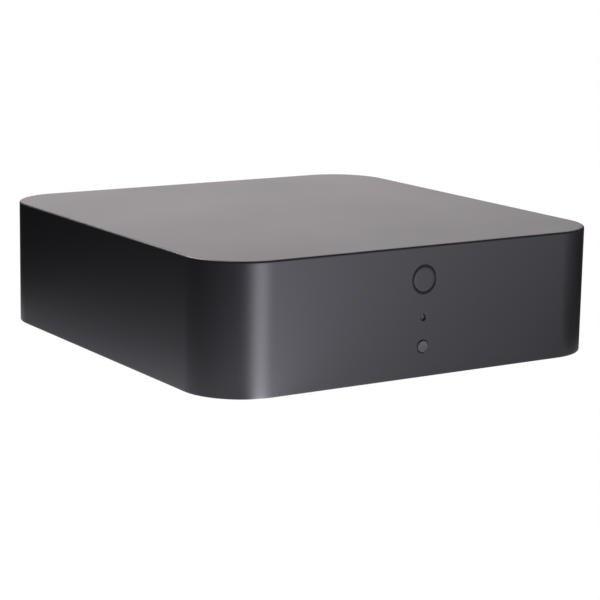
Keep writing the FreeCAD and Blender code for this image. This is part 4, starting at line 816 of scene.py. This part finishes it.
def wall_rows(shell, low, high, cells):
    """The heights that divide the walls: closely at the front's cells and at the window's corners."""
    foot, head = shell.window_low, shell.window_low + shell.window_height
    marks = [[low + 5 * ROW_STEP, high - 5 * ROW_STEP]]
    marks += [np.linspace(foot - WINDOW_REACH, foot + shell.window_corner, 5),
              np.linspace(head - shell.window_corner, head + WINDOW_REACH, 5)]
    marks += [np.linspace(centre - reach, centre + reach, CELL_STEPS) for centre, reach in cells.values()]
    marks = np.unique(np.round(np.concatenate(marks) / (2 * ROW_STEP))) * 2 * ROW_STEP
    inside = marks[(marks > low + ROW_STEP) & (marks < high - ROW_STEP)]
    return np.concatenate([[low], inside, [high]])


def outline_stations(shell):
    """Points and outward normals round the case, the walls' columns, and where the rear wall starts.

    A wall has one normal n, and its points are the middle + n times the half width + t times an offset. A
    corner's point is its centre + radius * n, where n turns by a quarter.
    """
    half, middle = (SHELL_HIGH - SHELL_LOW)[:2] / 2, (SHELL_HIGH + SHELL_LOW)[:2] / 2
    reach = half - shell.corner_radius
    columns, plain = wall_columns(shell, reach[0]), np.linspace(-reach[1], reach[1], 12)
    turn = np.linspace(0, np.pi / 2, shell.corner_steps + 1)[1:-1]
    points, normals = [], []
    for side, offsets in enumerate((columns, plain, columns, plain)):
        angle = (side - 1) * np.pi / 2
        n = np.round([math.cos(angle), math.sin(angle)], 9)
        t = np.array([-n[1], n[0]])
        swing = np.stack([np.cos(angle + turn), np.sin(angle + turn)], axis=-1)
        points += [middle + n * half + offsets[:, None] * t,
                   middle + reach * (n + t) + shell.corner_radius * swing]
        normals += [np.broadcast_to(n, (len(offsets), 2)), swing]
    rear_start = len(columns) + len(plain) + 2 * len(turn)
    return np.vstack(points), np.vstack(normals), columns, rear_start


def onto_outline(points, centre, half, radius):
    """Each point carried to a rounded rectangle: from its nearest point q of the rectangle of corner
    centres, to q + radius * (p - q) / |p - q|."""
    inner = half - radius
    q = np.clip(points - centre, -inner, inner)
    away = points - centre - q
    return centre + q + radius * away / np.maximum(np.linalg.norm(away, axis=1), 1e-9)[:, None]


def case_surface():
    """The case's wall: its profile goes from the ceiling down the inside, round the rim and up to the top,
    carried round the outline, and every opening is cut through it."""
    shell, front = bpy.context.scene.hub_shell, bpy.context.scene.hub_front
    outline, normals, columns, rear_start = outline_stations(shell)
    low, high = SHELL_LOW[2], SHELL_HIGH[2]
    ceiling, wall = high - shell.top_wall, shell.side_wall
    cells = {node: (centre_of(node)[2], reach) for node, reach in CELL_REACH.items()}
    rows = wall_rows(shell, low + shell.rim_edge, high - shell.top_edge, cells)
    inner_rows = np.append(rows[rows < ceiling - 2 * ROW_STEP], ceiling)
    levels = [(wall + inset * MM, ceiling) for inset in CEILING_RINGS]
    inner_last = len(levels) + len(inner_rows) - 1
    levels += [(wall, z) for z in (*inner_rows[::-1], low)]
    levels += [(out, low + deep) for out, deep in quarter_round(shell.rim_edge)[:-1]]
    outer_first = len(levels)
    levels += [(0.0, z) for z in rows]
    levels += [(deep, high - out) for out, deep in quarter_round(shell.top_edge, 8)[1:]]
    levels += [(inset * MM, high) for inset in TOP_RINGS]
    inset, height = np.array(levels).T[:, :, None, None]
    flat = outline - inset * normals
    points = np.concatenate([flat, np.broadcast_to(height, (*flat.shape[:2], 1))], axis=2)
    skin = Skin(points)
    count = skin.columns
    skin.faces += [list(range(count)), list(range(len(levels) * count - count, len(levels) * count))]

    def open_wall(left, right, z, reach, half, radius, steps, face=FRONT_Y, through=True):
        """Cuts a block out of a wall and leads its border to a hole, through loops of (growth, depth)."""
        j = [int(np.argmin(abs(rows - height))) for height in (z - reach, z + reach)]
        border = skin.cut(outer_first + j[0], outer_first + j[1], left, right)
        spots = points.reshape(-1, 3)[border][:, [0, 2]]
        loops = [border]
        for grow, depth in steps:
            hole = onto_outline(spots, (0.0, z), half + grow, radius + grow)
            deep = np.full(len(hole), face - math.copysign(depth, face))
            loops.append(skin.ring(np.stack([hole[:, 0], deep, hole[:, 1]], axis=-1)))
        if through:
            loops.append(skin.cut(inner_last - j[0], inner_last - j[1], left, right))
        else:
            skin.faces.append(loops[-1].tolist())
        skin.bridge(loops)

    middle, left = (int(np.argmin(abs(columns - x))) for x in (0.0, -CELL_HALF))
    right = 2 * middle - left
    edge = quarter_round(shell.hole_edge)
    for node, radius in (("front_button", front.button_hole), ("light_guide", front.light_hole)):
        open_wall(left, right, *cells[node], radius, radius, [(HOLE_RING, 0.0), *edge, (0.0, wall)])
    outer, band = front.ring_radius + front.ring_fit, front.ring_line + 2 * front.ring_fit
    floor = front.groove_depth
    steps = [(GROOVE_RING, 0.0), *edge, (0.0, floor), (-band, floor),
             *[(-band - grow, depth) for grow, depth in edge[::-1]], (-band - INNER_RING, 0.0)]
    open_wall(left, right, *cells["front_ring"], outer, outer, steps, through=False)
    half = np.array([shell.window_width, shell.window_height]) / 2
    end = int(np.argmin(abs(columns - half[0] - WINDOW_SIDE)))
    open_wall(rear_start + 2 * middle - end, rear_start + end, shell.window_low + half[1],
              half[1] + WINDOW_REACH, half, shell.window_corner,
              [*quarter_round(shell.window_edge), (0.0, wall)], REAR_Y)
    return skin.surface()


# How deep bosses are sunk in the wall, the case screws' bosses with their pilot holes, and the webs.
SUNK = 0.3 * MM
BOSS_FOOT, BOSS_R, PILOT_R, PILOT_DEPTH = 4.7 * MM, 3.5 * MM, 1.25 * MM, 11.0 * MM
WEB_T, WEB_LIFT = 1.2 * MM, 7.0 * MM
# Bosses of the front board, and the tube that guides the button.
FRONT_BOSS_R, FRONT_PILOT_R, FRONT_PILOT_DEPTH = 2.6 * MM, 0.85 * MM, 6.2 * MM
GUIDE_R, GUIDE_BORE, GUIDE_L = 4.4 * MM, 3.2 * MM, 1.46 * MM


def boss(box, tip, root, outer, pilot, depth, axis):
    """A boss with a blind pilot hole in its tip, and its root sunk in a wall."""
    floor = tip + math.copysign(depth, root - tip)
    return spun(box, stepped(floor, (tip, pilot), (root, outer)), (0, 0.1, 0.2, 0), axis, 36)


def case_bosses():
    """What stands inside the case: a boss with a web for each case screw, two bosses for the front board,
    and the tube that guides the button."""
    shell = bpy.context.scene.hub_shell
    ceiling = SHELL_HIGH[2] - shell.top_wall + SUNK
    side, face = SHELL_HIGH[0] - shell.side_wall, FRONT_Y + shell.side_wall
    made = []
    for box in solids_of("case_screws"):
        x, y, _ = sum(box) / 2
        made.append(boss(box, BOSS_FOOT, ceiling, BOSS_R, PILOT_R, PILOT_DEPTH, "z"))
        ends = sorted((x + math.copysign(BOSS_R / 2, x), math.copysign(side, x)))
        web = (ends[0], y - WEB_T / 2, BOSS_FOOT + WEB_LIFT), (ends[1], y + WEB_T / 2, ceiling)
        made.append(pillow(web, 0.2 * MM, 0.1 * MM))
    tip = corners_of("front_board")[0][1]
    made += [boss(box, tip, face - SUNK, FRONT_BOSS_R, FRONT_PILOT_R, FRONT_PILOT_DEPTH, "y")
             for box in solids_of("front_board_screws")]
    guide = stepped(face - SUNK, (face + GUIDE_L, GUIDE_R), (face - SUNK, GUIDE_BORE))
    return made + [spun(corners_of("front_button"), guide, (0.1,) * 4, ring=True)]


# Front details


def front_ring(box):
    """The ring of the front: a band with rounded edges."""
    front = bpy.context.scene.hub_front
    start, end, _ = extent(box)
    band = stepped(start, (end, front.ring_radius), (start, front.ring_radius - front.ring_line))
    return spun(box, band, (0.1,) * 4, segments=120, ring=True)


def light_guide(box):
    """The clear guide: a nose in the wall, a flange behind it and a rod to the light."""
    start, end, flange_r = extent(box)
    flange_t, rod_r = 0.9 * MM, 1.4 * MM
    wall = FRONT_Y + bpy.context.scene.hub_shell.side_wall
    nose_r = bpy.context.scene.hub_front.light_radius
    return spun(box, stepped(start, (wall, nose_r), (wall + flange_t, flange_r), (end, rod_r)),
                (0.25, 0, 0.08, 0.08, 0.15, 0.08), segments=40)


def front_button(box):
    """The button: a face that is hollowed by depth * (1 - t * t) at the share t of its radius, a cap with a
    rounded edge, a flange and a stem."""
    front = bpy.context.scene.hub_front
    face, end, flange_r = extent(box)
    cap, flange_t, stem_r, play, flat_line = front.button_radius, 1.0 * MM, 1.5 * MM, 0.06 * MM, 0.1 * MM
    flange = FRONT_Y + bpy.context.scene.hub_shell.side_wall + play
    t = np.linspace(0, 1, 9)
    reach = cap - front.button_edge - flat_line
    hollow = np.stack([face + front.button_dish * (1 - t * t), reach * t], axis=-1)
    return spun(box, stepped(face, (flange, cap), (flange + flange_t, flange_r), (end, stem_r)),
                (front.button_edge / MM, 0.05, 0.12, 0.12, 0.1, 0.15), segments=72, arcs=6, face=hollow)


# Base


def rubber_foot(box):
    """A round foot: a rounded edge at the ground, with a shallow groove round its sole."""
    sole, head, radius = extent(box, "z")
    depth, groove = 0.25 * MM, radius * 0.68
    corners = [(sole, 0), (sole, groove), (sole + depth, groove + depth), (sole + depth, groove + 3 * depth),
               (sole, groove + 4 * depth), (sole, radius), (head, radius), (head, 0)]
    return spun(box, corners, (0.08, 0.08, 0.08, 0.08, 0.35, 0.1), "z", 72)


# Round jacks


# Wall of a jack's sleeve, the pin's bore, the wider bore behind it, and the length of the core's lip. How
# far a sleeve's flange stands out, and how thick it is.
JACK_WALL, JACK_BORE, JACK_SLEEVE_BORE, LIP_L = 0.6 * MM, 1.65 * MM, 2.1 * MM, 2.0 * MM
JACK_FLANGE, JACK_FLANGE_T = 0.45 * MM, 0.8 * MM


def jack_sleeve(box):
    """A plated sleeve with a flange against the panel and a rolled mouth."""
    start, end, flange_r = extent(box)
    radius = flange_r - JACK_FLANGE
    outline = stepped(start, (PANEL_OUT, radius), (PANEL_OUT + JACK_FLANGE_T, flange_r), (end, radius),
                      (start, radius - JACK_WALL))
    return spun(box, outline, (0.1, 0, 0.05, 0.2, 0.15, 0.28, 0.22, 0.1), segments=72, ring=True)


def jack_core(box):
    """The coloured core: a thin lip round the pin's hole, and a wider bore behind it for the contact."""
    back, front, radius = extent(box)
    outline = stepped(back, (front, radius), (front - LIP_L, JACK_BORE), (back, JACK_SLEEVE_BORE))
    return spun(box, outline, (0.1, 0.3, 0.4, 0.05, 0, 0.1), segments=64, ring=True)


def jack_contact(box):
    """The spring sleeve in a core, closed at its back."""
    back, front, outer = extent(box)
    return spun(box, stepped(back, (front, outer), (back + LIP_L, JACK_BORE)), (0.1, 0.1, 0.1, 0))


def shutter_spring(box):
    """The torsion spring: a helix round the pin, x rising by one pitch in each turn."""
    _, y, z = centre_of("shutter_pin")
    start, end, radius = extent(box, "x")
    turns, wire, steps = 5, 0.12 * MM, 24
    turn = np.linspace(0, 2 * np.pi * turns, steps * turns + 1)
    x, coil = np.linspace(start + wire, end - wire, len(turn)), radius - wire
    return swept(np.stack([x, y + coil * np.cos(turn), z + coil * np.sin(turn)], axis=-1), wire, 10)


# Square sockets


def shell_outline(box, slant, grow, radius):
    """A socket shell's outline: a box, grown by an amount, whose two lower corners may be cut on a slant."""
    (left, _, foot), (right, _, head) = box[0] - grow, box[1] + grow
    if slant:
        corners = [(left + slant, foot), (right - slant, foot), (right, foot + slant), (right, head),
                   (left, head), (left, foot + slant)]
    else:
        corners = [(left, foot), (right, foot), (right, head), (left, head)]
    return closed_profile(corners, [radius] * len(corners))


def socket_shell(box, thickness, slant, radius):
    """A folded steel shell round a socket, open towards the back of the case."""
    return sheet_sleeve(shell_outline(box, slant, 0, radius),
                        shell_outline(box, slant, -thickness, max(radius - thickness, 0.1 * MM)),
                        box[0][1], box[1][1], lip=thickness * 0.35)


def lan_contact(box):
    """A spring wire that slants up from the floor of the network socket towards its back."""
    low, high = box
    x, wire = (low[0] + high[0]) / 2, (high[0] - low[0]) / 2
    line = rounded([(high[1] - wire, low[2] + wire), (high[1] - 3 * wire, low[2] + wire * 1.4),
                    (low[1] + 6 * wire, high[2] - 2 * wire), (low[1] + wire, high[2] - wire)],
                   (1.2 * MM, 2.0 * MM), steps=6)
    return swept(np.stack([np.full(len(line), x), line[:, 0], line[:, 1]], axis=-1), wire, 4)


def power_pin(box):
    """The centre pin of the power socket, with a domed end."""
    start, end, radius = extent(box)
    return spun(box, stepped(start, (end, radius)), (0.1, radius / MM * 0.7), segments=32, arcs=6)


# Ground terminal


# Pitch and depth of the stud's thread and the length over which it fades out, the thickness of the stud's
# collar, and the bore of what runs on the stud.
PITCH, THREAD, FADE, COLLAR_T, STUD_BORE = 0.7 * MM, 0.22 * MM, 0.6 * MM, 1.0 * MM, 2.05 * MM


def threaded_stud(box):
    """The stud: its radius at depth y and turn t falls by depth * |2 * frac(y / pitch - t / 360) - 1|,
    faded out towards both ends, with a collar behind the panel."""
    start, end, collar_r = extent(box)
    radius, point, sides = 2.0 * MM, 0.35 * MM, 48
    x, _, z = sum(box) / 2
    y = np.linspace(start, end, int((end - start) / PITCH * 8))[:, None]
    turn = np.linspace(0, 2 * np.pi, sides, endpoint=False)[None, :]
    wave = np.abs(2 * np.mod(y / PITCH - turn / (2 * np.pi), 1) - 1)
    ends = np.clip(np.minimum(y - start, end - y) / FADE, 0, 1)
    tapered = radius - point * np.clip(1 - (end - y) / FADE, 0, 1) ** 2
    axis = np.zeros((1, sides))
    r = np.vstack([axis, tapered - THREAD * wave * ends, axis])
    y = np.broadcast_to(np.vstack([y[:1], y, y[-1:]]), r.shape)
    points = np.stack([x + r * np.sin(turn), y, z + r * np.cos(turn)], axis=-1)
    collar = spun(box, stepped(PANEL_IN - COLLAR_T, (PANEL_IN, collar_r)), (0.15, 0.15))
    return joined(grid(points, wrap_columns=True, along=y[:, 0] - start), collar)


def ground_washer(box):
    """The captive washer under the knob."""
    start, end, radius = extent(box)
    return spun(box, stepped(start, (end, radius), (start, STUD_BORE)), (0.12,) * 4, segments=64, ring=True)


# Number and depth of the knob's knurls, and the radius and length of its neck.
KNURLS, KNURL_DEPTH, NECK_R, NECK_L = 26, 0.28 * MM, 3.2 * MM, 1.4 * MM


def knurled_knob(box):
    """The thumb nut: its grip's radius falls by depth * |sin(count * t / 2)| at the turn t."""
    start, end, radius = extent(box)
    centre = (sum(box) / 2)[[0, 2]]
    corners = [(start, STUD_BORE), (start, NECK_R), (start + NECK_L, NECK_R), (start + NECK_L, radius),
               (end, radius), (end, STUD_BORE)]
    points, faces, along = spun(box, corners, (0.1, 0.15, 0.1, 0.35, 0.5, 0.25), segments=KNURLS * 8, arcs=5,
                                ring=True)
    away = points[:, [0, 2]] - centre
    r = np.linalg.norm(away, axis=1)
    turn = np.arctan2(away[:, 1], away[:, 0])
    grip = np.clip((r - NECK_R) / (radius - NECK_R - KNURL_DEPTH), 0, 1)
    r_cut = r - KNURL_DEPTH * np.abs(np.sin(KNURLS * turn / 2)) * grip
    points[:, [0, 2]] = centre + away * (r_cut / r)[:, None]
    return points, faces, along


# Boards


# The groove round a capacitor's can, as (height above the foot, radius), in shares of its radius.
CRIMP = ((0.5, 1.0), (0.62, 0.91), (0.74, 1.0))


def capacitor(box):
    """A round capacitor: a crimp groove above its foot, and a rounded top edge."""
    foot, head, radius = extent(box, "z")
    crimp = [(foot + radius * up, radius * out) for up, out in CRIMP]
    corners = [(foot, 0), (foot, radius), *crimp, (head, radius), (head, 0)]
    return spun(box, corners, (0.15, 0.2, 0.2, 0.2, 0.4), "z")


# Operators


class HUB_OT_case(bpy.types.Operator):
    """Forms the moulded case with its holes, groove, window and bosses"""
    bl_idname = "hub.case"
    bl_label = "Moulded case"

    def execute(self, context):
        make("top_shell", case_surface(), *case_bosses())
        return {"FINISHED"}


class HUB_OT_front(bpy.types.Operator):
    """Forms the ring, the light guide, the button and what is behind them"""
    bl_idname = "hub.front"
    bl_label = "Front details"

    def execute(self, context):
        each(front_ring, "front_ring")
        each(light_guide, "light_guide")
        each(front_button, "front_button")
        each(round_bar, "switch_plunger", edge=0.2)
        each(pillow, "status_light", corner=0.1 * MM, edge=0.1 * MM, axis=1)
        soften(0.12 * MM, "front_switch")
        soften(0.06 * MM, "front_board")
        soften(0.0, "front_board_screws", "ribbon_cable")
        soften(0.15 * MM, "ribbon_sockets")
        return {"FINISHED"}


class HUB_OT_base(bpy.types.Operator):
    """Finishes the base cover and its screws, and forms its feet"""
    bl_idname = "hub.base"
    bl_label = "Base and feet"

    def execute(self, context):
        soften(0.15 * MM, "base_cover")
        each(rubber_foot, "rubber_feet")
        soften(0.0, "case_screws")
        return {"FINISHED"}


class HUB_OT_bay(bpy.types.Operator):
    """Finishes the socket panel and its screws"""
    bl_idname = "hub.bay"
    bl_label = "Socket bay"

    def execute(self, context):
        soften(0.0, "rear_panel", "panel_screws")
        return {"FINISHED"}


class HUB_OT_jacks(bpy.types.Operator):
    """Forms the round jacks, and the optical socket with its shutter"""
    bl_idname = "hub.jacks"
    bl_label = "Audio jacks"

    def execute(self, context):
        soften(0.12 * MM, "line_jack_block")
        soften(0.0, "digital_jack_block")
        each(jack_sleeve, "jack_sleeves")
        each(jack_core, "jack_core_red", "jack_core_white", "jack_core_orange")
        each(jack_contact, "jack_contacts")
        soften(0.06 * MM, "optical_shutter")
        soften(0.10 * MM, "optical_receiver")
        each(round_bar, "shutter_pin", edge=0.08, axis="x", segments=24)
        each(shutter_spring, "shutter_spring")
        return {"FINISHED"}


class HUB_OT_sockets(bpy.types.Operator):
    """Forms the picture, bus, network and power sockets"""
    bl_idname = "hub.sockets"
    bl_label = "Square sockets"

    def execute(self, context):
        each(socket_shell, "hdmi_shield", thickness=0.4 * MM, slant=1.9 * MM, radius=0.6 * MM)
        each(socket_shell, "usb_shield", thickness=0.35 * MM, slant=0, radius=0.7 * MM)
        soften(0.08 * MM, "hdmi_insert", "usb_insert")
        each(pillow, "hdmi_contacts", corner=0.05 * MM, edge=0.03 * MM, axis=1)
        each(pillow, "usb_contacts", corner=0.08 * MM, edge=0.05 * MM, axis=1)
        soften(0.10 * MM, "lan_shield", "lan_insert")
        each(lan_contact, "lan_contacts")
        each(pillow, "lan_lamps", corner=0.2 * MM, edge=0.15 * MM, axis=1)
        soften(0.20 * MM, "power_socket")
        each(power_pin, "power_pin")
        return {"FINISHED"}


class HUB_OT_ground(bpy.types.Operator):
    """Forms the ground terminal: stud, lug, nut, washer, knob and wire"""
    bl_idname = "hub.ground"
    bl_label = "Ground terminal"

    def execute(self, context):
        each(threaded_stud, "ground_stud")
        each(ground_washer, "ground_washer")
        each(knurled_knob, "ground_knob")
        soften(0.15 * MM, "ground_nut")
        soften(0.06 * MM, "ground_lug")
        soften(0.0, "ground_wire")
        return {"FINISHED"}


class HUB_OT_boards(bpy.types.Operator):
    """Finishes the main board and all that is on it, and the aerials"""
    bl_idname = "hub.boards"
    bl_label = "Boards and their parts"

    def execute(self, context):
        soften(0.06 * MM, "main_board")
        soften(0.0, "board_screws", "aerial_leads")
        each(pillow, "processor_chip", corner=0.4 * MM, edge=0.15 * MM)
        each(pillow, "thermal_pad", corner=0.8 * MM, edge=0.25 * MM)
        each(pillow, "small_chips", corner=0.3 * MM, edge=0.12 * MM)
        each(pillow, "power_coils", corner=1.2 * MM, edge=0.6 * MM)
        each(pillow, "input_relays", corner=0.5 * MM, edge=0.4 * MM)
        soften(0.15 * MM, "heat_sink", "heat_sink_pins")
        soften(0.10 * MM, "shield_can", "radio_module")
        soften(0.05 * MM, "aerials")
        each(capacitor, "capacitors")
        return {"FINISHED"}


# Stage


# Half the width of the floor and the range that the camera sees, in metres, and its sensor, in millimetres.
FLOOR_REACH, CLIP, SENSOR = 6.0, (0.02, 50.0), 36.0
# The parts of the floor's glow, the point that its lanes start from and the point past which they end: the
# focus behind each rounded corner of the front, which makes the lanes upright in the corner's mirror image.
FLOOR_PARTS = ("Rim", "Under", "Corner", "Lane", "Front", "Side", "Rear")
LANE_START, LANE_END = (-58.0 * MM, -62.8 * MM), (56.0 * MM, -62.0 * MM)
# Direction and width of each lane, and the directions between which the last one ends, in degrees.
LANES, LAST_LANE, LANE_STOP = ((7, 16), (36, 26)), (72, 15), (38, 50)
# How fast the glow fades from the rim, round the near corner and behind, and how far out that corner's is.
RIM_FADE, CORNER_FADE, REAR_FADE, CORNER_OUT = 25 * MM, 70 * MM, 90 * MM, 13.5 * MM
# Where the rim's glow ends on the right, and the glow under the case ends inside the walls. Where the glow
# behind the case sets in: towards the back, from the left, and at the walls.
RIM_END, UNDER_END = (50 * MM, 90 * MM), (8 * MM, 3 * MM)
REAR_BACK, REAR_LEFT, REAR_WALL = (0.0, 40 * MM), (-60 * MM, -30 * MM), 3 * MM


def floor_glow():
    """How brightly the floor glows: the sum of its parts, each times its own setting.

    With d the distance past the case's square, rim is e^(-d / 25 mm), which ends 50 to 90 mm to the right,
    under is 1 inside the walls, and rear is e^(-d / 90 mm), which sets in over 40 mm towards the back and
    from 60 to 30 mm left of the middle. Corner is e^(-r / 70 mm), with r the distance from the near corner.
    With a the degrees to the right of straight ahead, seen from LANE_START, lane is e^-((a - 7) / 16)^2,
    front is e^-((a - 36) / 26)^2, and side is e^-((a - 72) / 15)^2, which ends at 38 to 50 degrees, seen
    from LANE_END.
    """
    inputs = {"Place": ORIGIN, **dict.fromkeys(FLOOR_PARTS, 0.0)}
    tree, source, out = new_group("Floor glow", inputs, ("Strength",))
    level = scaled(tree, source["Place"], (1, 1, 0))
    x, y, _ = split(tree, level)
    half = SHELL_HIGH[0]

    def fading(value, scale):
        """e^(-value / scale)."""
        return maths(tree, "POWER", math.e, times(tree, value, -1 / scale))

    def falling(value, low, high):
        """1 below the low value, 0 above the high one."""
        ends = {"From Min": low, "From Max": high, "To Min": 1.0, "To Max": 0.0}
        return add(tree, "MapRange", {"Value": value, **ends}).outputs["Result"]

    def bearing(start):
        """The direction in which the place is seen from a point, from straight ahead to the right."""
        aside, ahead = maths(tree, "SUBTRACT", x, start[0]), maths(tree, "SUBTRACT", start[1], y)
        return maths(tree, "ARCTAN2", aside, ahead)

    def lane(degrees, width):
        """A soft lane in one direction."""
        off = maths(tree, "SUBTRACT", angle, math.radians(degrees))
        return fading(times(tree, off, off), math.radians(width) ** 2)

    widest = maths(tree, "MAXIMUM", maths(tree, "ABSOLUTE", x), maths(tree, "ABSOLUTE", y))
    beyond = maths(tree, "MAXIMUM", maths(tree, "SUBTRACT", widest, half))
    corner = (-half - CORNER_OUT, -half - CORNER_OUT, 0)
    near = add(tree, "VectorMath", {0: level, 1: corner}, operation="DISTANCE").outputs["Value"]
    angle, past = bearing(LANE_START), bearing(LANE_END)
    behind = fading(beyond, REAR_FADE)
    for value, low, high in ((y, *REAR_BACK), (x, *REAR_LEFT), (widest, half - REAR_WALL, half)):
        behind = times(tree, behind, falling(value, high, low))
    shares = (times(tree, fading(beyond, RIM_FADE), falling(x, *RIM_END)),
              falling(widest, half - UNDER_END[0], half - UNDER_END[1]), fading(near, CORNER_FADE),
              *[lane(*way) for way in LANES],
              times(tree, lane(*LAST_LANE), falling(past, *map(math.radians, LANE_STOP))), behind)
    total = 0.0
    for share, label in zip(shares, FLOOR_PARTS):
        total = maths(tree, "ADD", total, times(tree, share, source[label]))
    give(tree, out, Strength=total)
    return tree


def floor_shader(tree):
    """The floor: white to the camera from above, clear from below, and glowing for what mirrors it."""
    look = bpy.context.scene.hub_stage
    glows = {label: getattr(look, label.lower() + "_glow") for label in FLOOR_PARTS}
    group = add(tree, "Group", glows, node_tree=floor_glow())
    tree.links.new(object_place(tree), group.inputs["Place"])
    glow = add(tree, "Emission", {"Color": (*look.cool, 1), "Strength": group.outputs[0]}).outputs[0]
    seen = add(tree, "Emission", {"Color": WHITE, "Strength": 1.0}).outputs[0]
    path = add(tree, "LightPath").outputs["Is Camera Ray"]
    above = add(tree, "MixShader", {0: path, 1: glow, 2: seen}).outputs[0]
    clear = add(tree, "BsdfTransparent").outputs[0]
    below = add(tree, "NewGeometry").outputs["Backfacing"]
    return add(tree, "MixShader", {0: below, 1: above, 2: clear}).outputs[0]


def area_light(name, spot, aim, size, strength, tint, spread=180):
    """A soft light of a given size that looks at a point and spreads over a cone of some degrees."""
    lamp = bpy.data.lights.new(name, "AREA")
    lamp.shape, lamp.size, lamp.size_y = "RECTANGLE", *size
    lamp.energy, lamp.color, lamp.spread = strength, tint, math.radians(spread)
    light = linked(name, lamp)
    light.location = spot
    light.rotation_euler = (Vector(aim) - Vector(spot)).to_track_quat("-Z", "Y").to_euler()
    light.visible_camera = False


def direction(degrees, pitch):
    """The way to the front, turned by degrees towards the left and raised by a pitch."""
    turn, rise = math.radians(degrees), math.radians(pitch)
    return np.array([-math.sin(turn) * math.cos(rise), -math.cos(turn) * math.cos(rise), math.sin(rise)])


def place_camera(look):
    """The camera, from its distance and angles about the case's middle, aimed by its own angles."""
    camera = linked("camera", bpy.data.cameras.new("camera"))
    camera.data.lens, camera.data.sensor_width = look.lens, SENSOR
    camera.data.clip_start, camera.data.clip_end = CLIP
    spot = (SHELL_LOW + SHELL_HIGH) / 2 + direction(look.azimuth, look.elevation) * look.distance
    ahead = -direction(look.aim_azimuth, look.aim_pitch)
    turn = Vector(ahead).to_track_quat("-Z", "Y").to_matrix().to_4x4()
    roll = Matrix.Rotation(math.radians(look.roll), 4, "Z")
    camera.matrix_world = Matrix.Translation(Vector(spot)) @ turn @ roll
    bpy.context.scene.camera = camera


class HUB_OT_stage(bpy.types.Operator):
    """Sets the floor, the lights, the surroundings and the camera"""
    bl_idname = "hub.stage"
    bl_label = "Floor, lights and camera"

    def execute(self, context):
        look = context.scene.hub_stage
        finish = bpy.data.materials.new("floor_finish")
        finish.use_nodes = True
        tree = finish.node_tree
        tree.nodes.remove(tree.nodes["Principled BSDF"])
        tree.links.new(floor_shader(tree), tree.nodes["Material Output"].inputs["Surface"])
        mesh = bpy.data.meshes.new("floor")
        corners = [(x * FLOOR_REACH, y * FLOOR_REACH, 0) for x, y in ((-1, -1), (1, -1), (1, 1), (-1, 1))]
        mesh.from_pydata(corners, [], [(0, 1, 2, 3)])
        mesh.materials.append(finish)
        linked("floor", mesh)
        area_light("back_card", spot=(0.70, 1.31, 0.32), aim=(0, 0, 0.04), size=(0.99, 0.5),
                   strength=look.back_card, tint=look.warm, spread=90)
        area_light("rear_fill", spot=(-0.15, 0.9, 1.0), aim=(0, 0, 0.02), size=(0.9, 0.6),
                   strength=look.rear_fill, tint=look.warm)
        world = context.scene.world = bpy.data.worlds.new("surroundings")
        world.use_nodes = True
        tree = world.node_tree
        path = add(tree, "LightPath").outputs["Is Camera Ray"]
        tree.links.new(remap(tree, path, look.surroundings, 1.0), tree.nodes["Background"].inputs["Strength"])
        tree.nodes["Background"].inputs["Color"].default_value = WHITE
        context.scene.view_settings.view_transform = "Standard"
        place_camera(look)
        return {"FINISHED"}


class HUB_PT_panel(bpy.types.Panel):
    """The audio hub's sizes, colours and steps"""
    bl_idname = "HUB_PT_panel"
    bl_label = "Audio hub"
    bl_space_type = "VIEW_3D"
    bl_region_type = "UI"
    bl_category = "Audio hub"

    def draw(self, context):
        for name, group in SETTINGS.items():
            box = self.layout.box()
            for key in group.__annotations__:
                box.prop(getattr(context.scene, name), key)
        for step in STEPS:
            self.layout.operator(step.bl_idname)


SETTINGS = {"hub_shell": ShellSizes, "hub_front": FrontSizes, "hub_finishes": FinishColours,
            "hub_stage": StageLook}
STEPS = (HUB_OT_case, HUB_OT_front, HUB_OT_base, HUB_OT_bay, HUB_OT_jacks, HUB_OT_sockets, HUB_OT_ground,
         HUB_OT_boards, HUB_OT_stage)


def register():
    """Makes the settings, the steps and the panel known to Blender."""
    for name, group in SETTINGS.items():
        bpy.utils.register_class(group)
        setattr(bpy.types.Scene, name, PointerProperty(type=group))
    for step in (*STEPS, HUB_PT_panel):
        bpy.utils.register_class(step)


def unregister():
    """Takes them away again."""
    for step in reversed((*STEPS, HUB_PT_panel)):
        bpy.utils.unregister_class(step)
    for name, group in SETTINGS.items():
        delattr(bpy.types.Scene, name)
        bpy.utils.unregister_class(group)


def main():
    """Registers the steps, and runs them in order."""
    register()
    for step in STEPS:
        space, name = step.bl_idname.split(".")
        getattr(getattr(bpy.ops, space), name)()


if __name__ == "__main__":
    main()
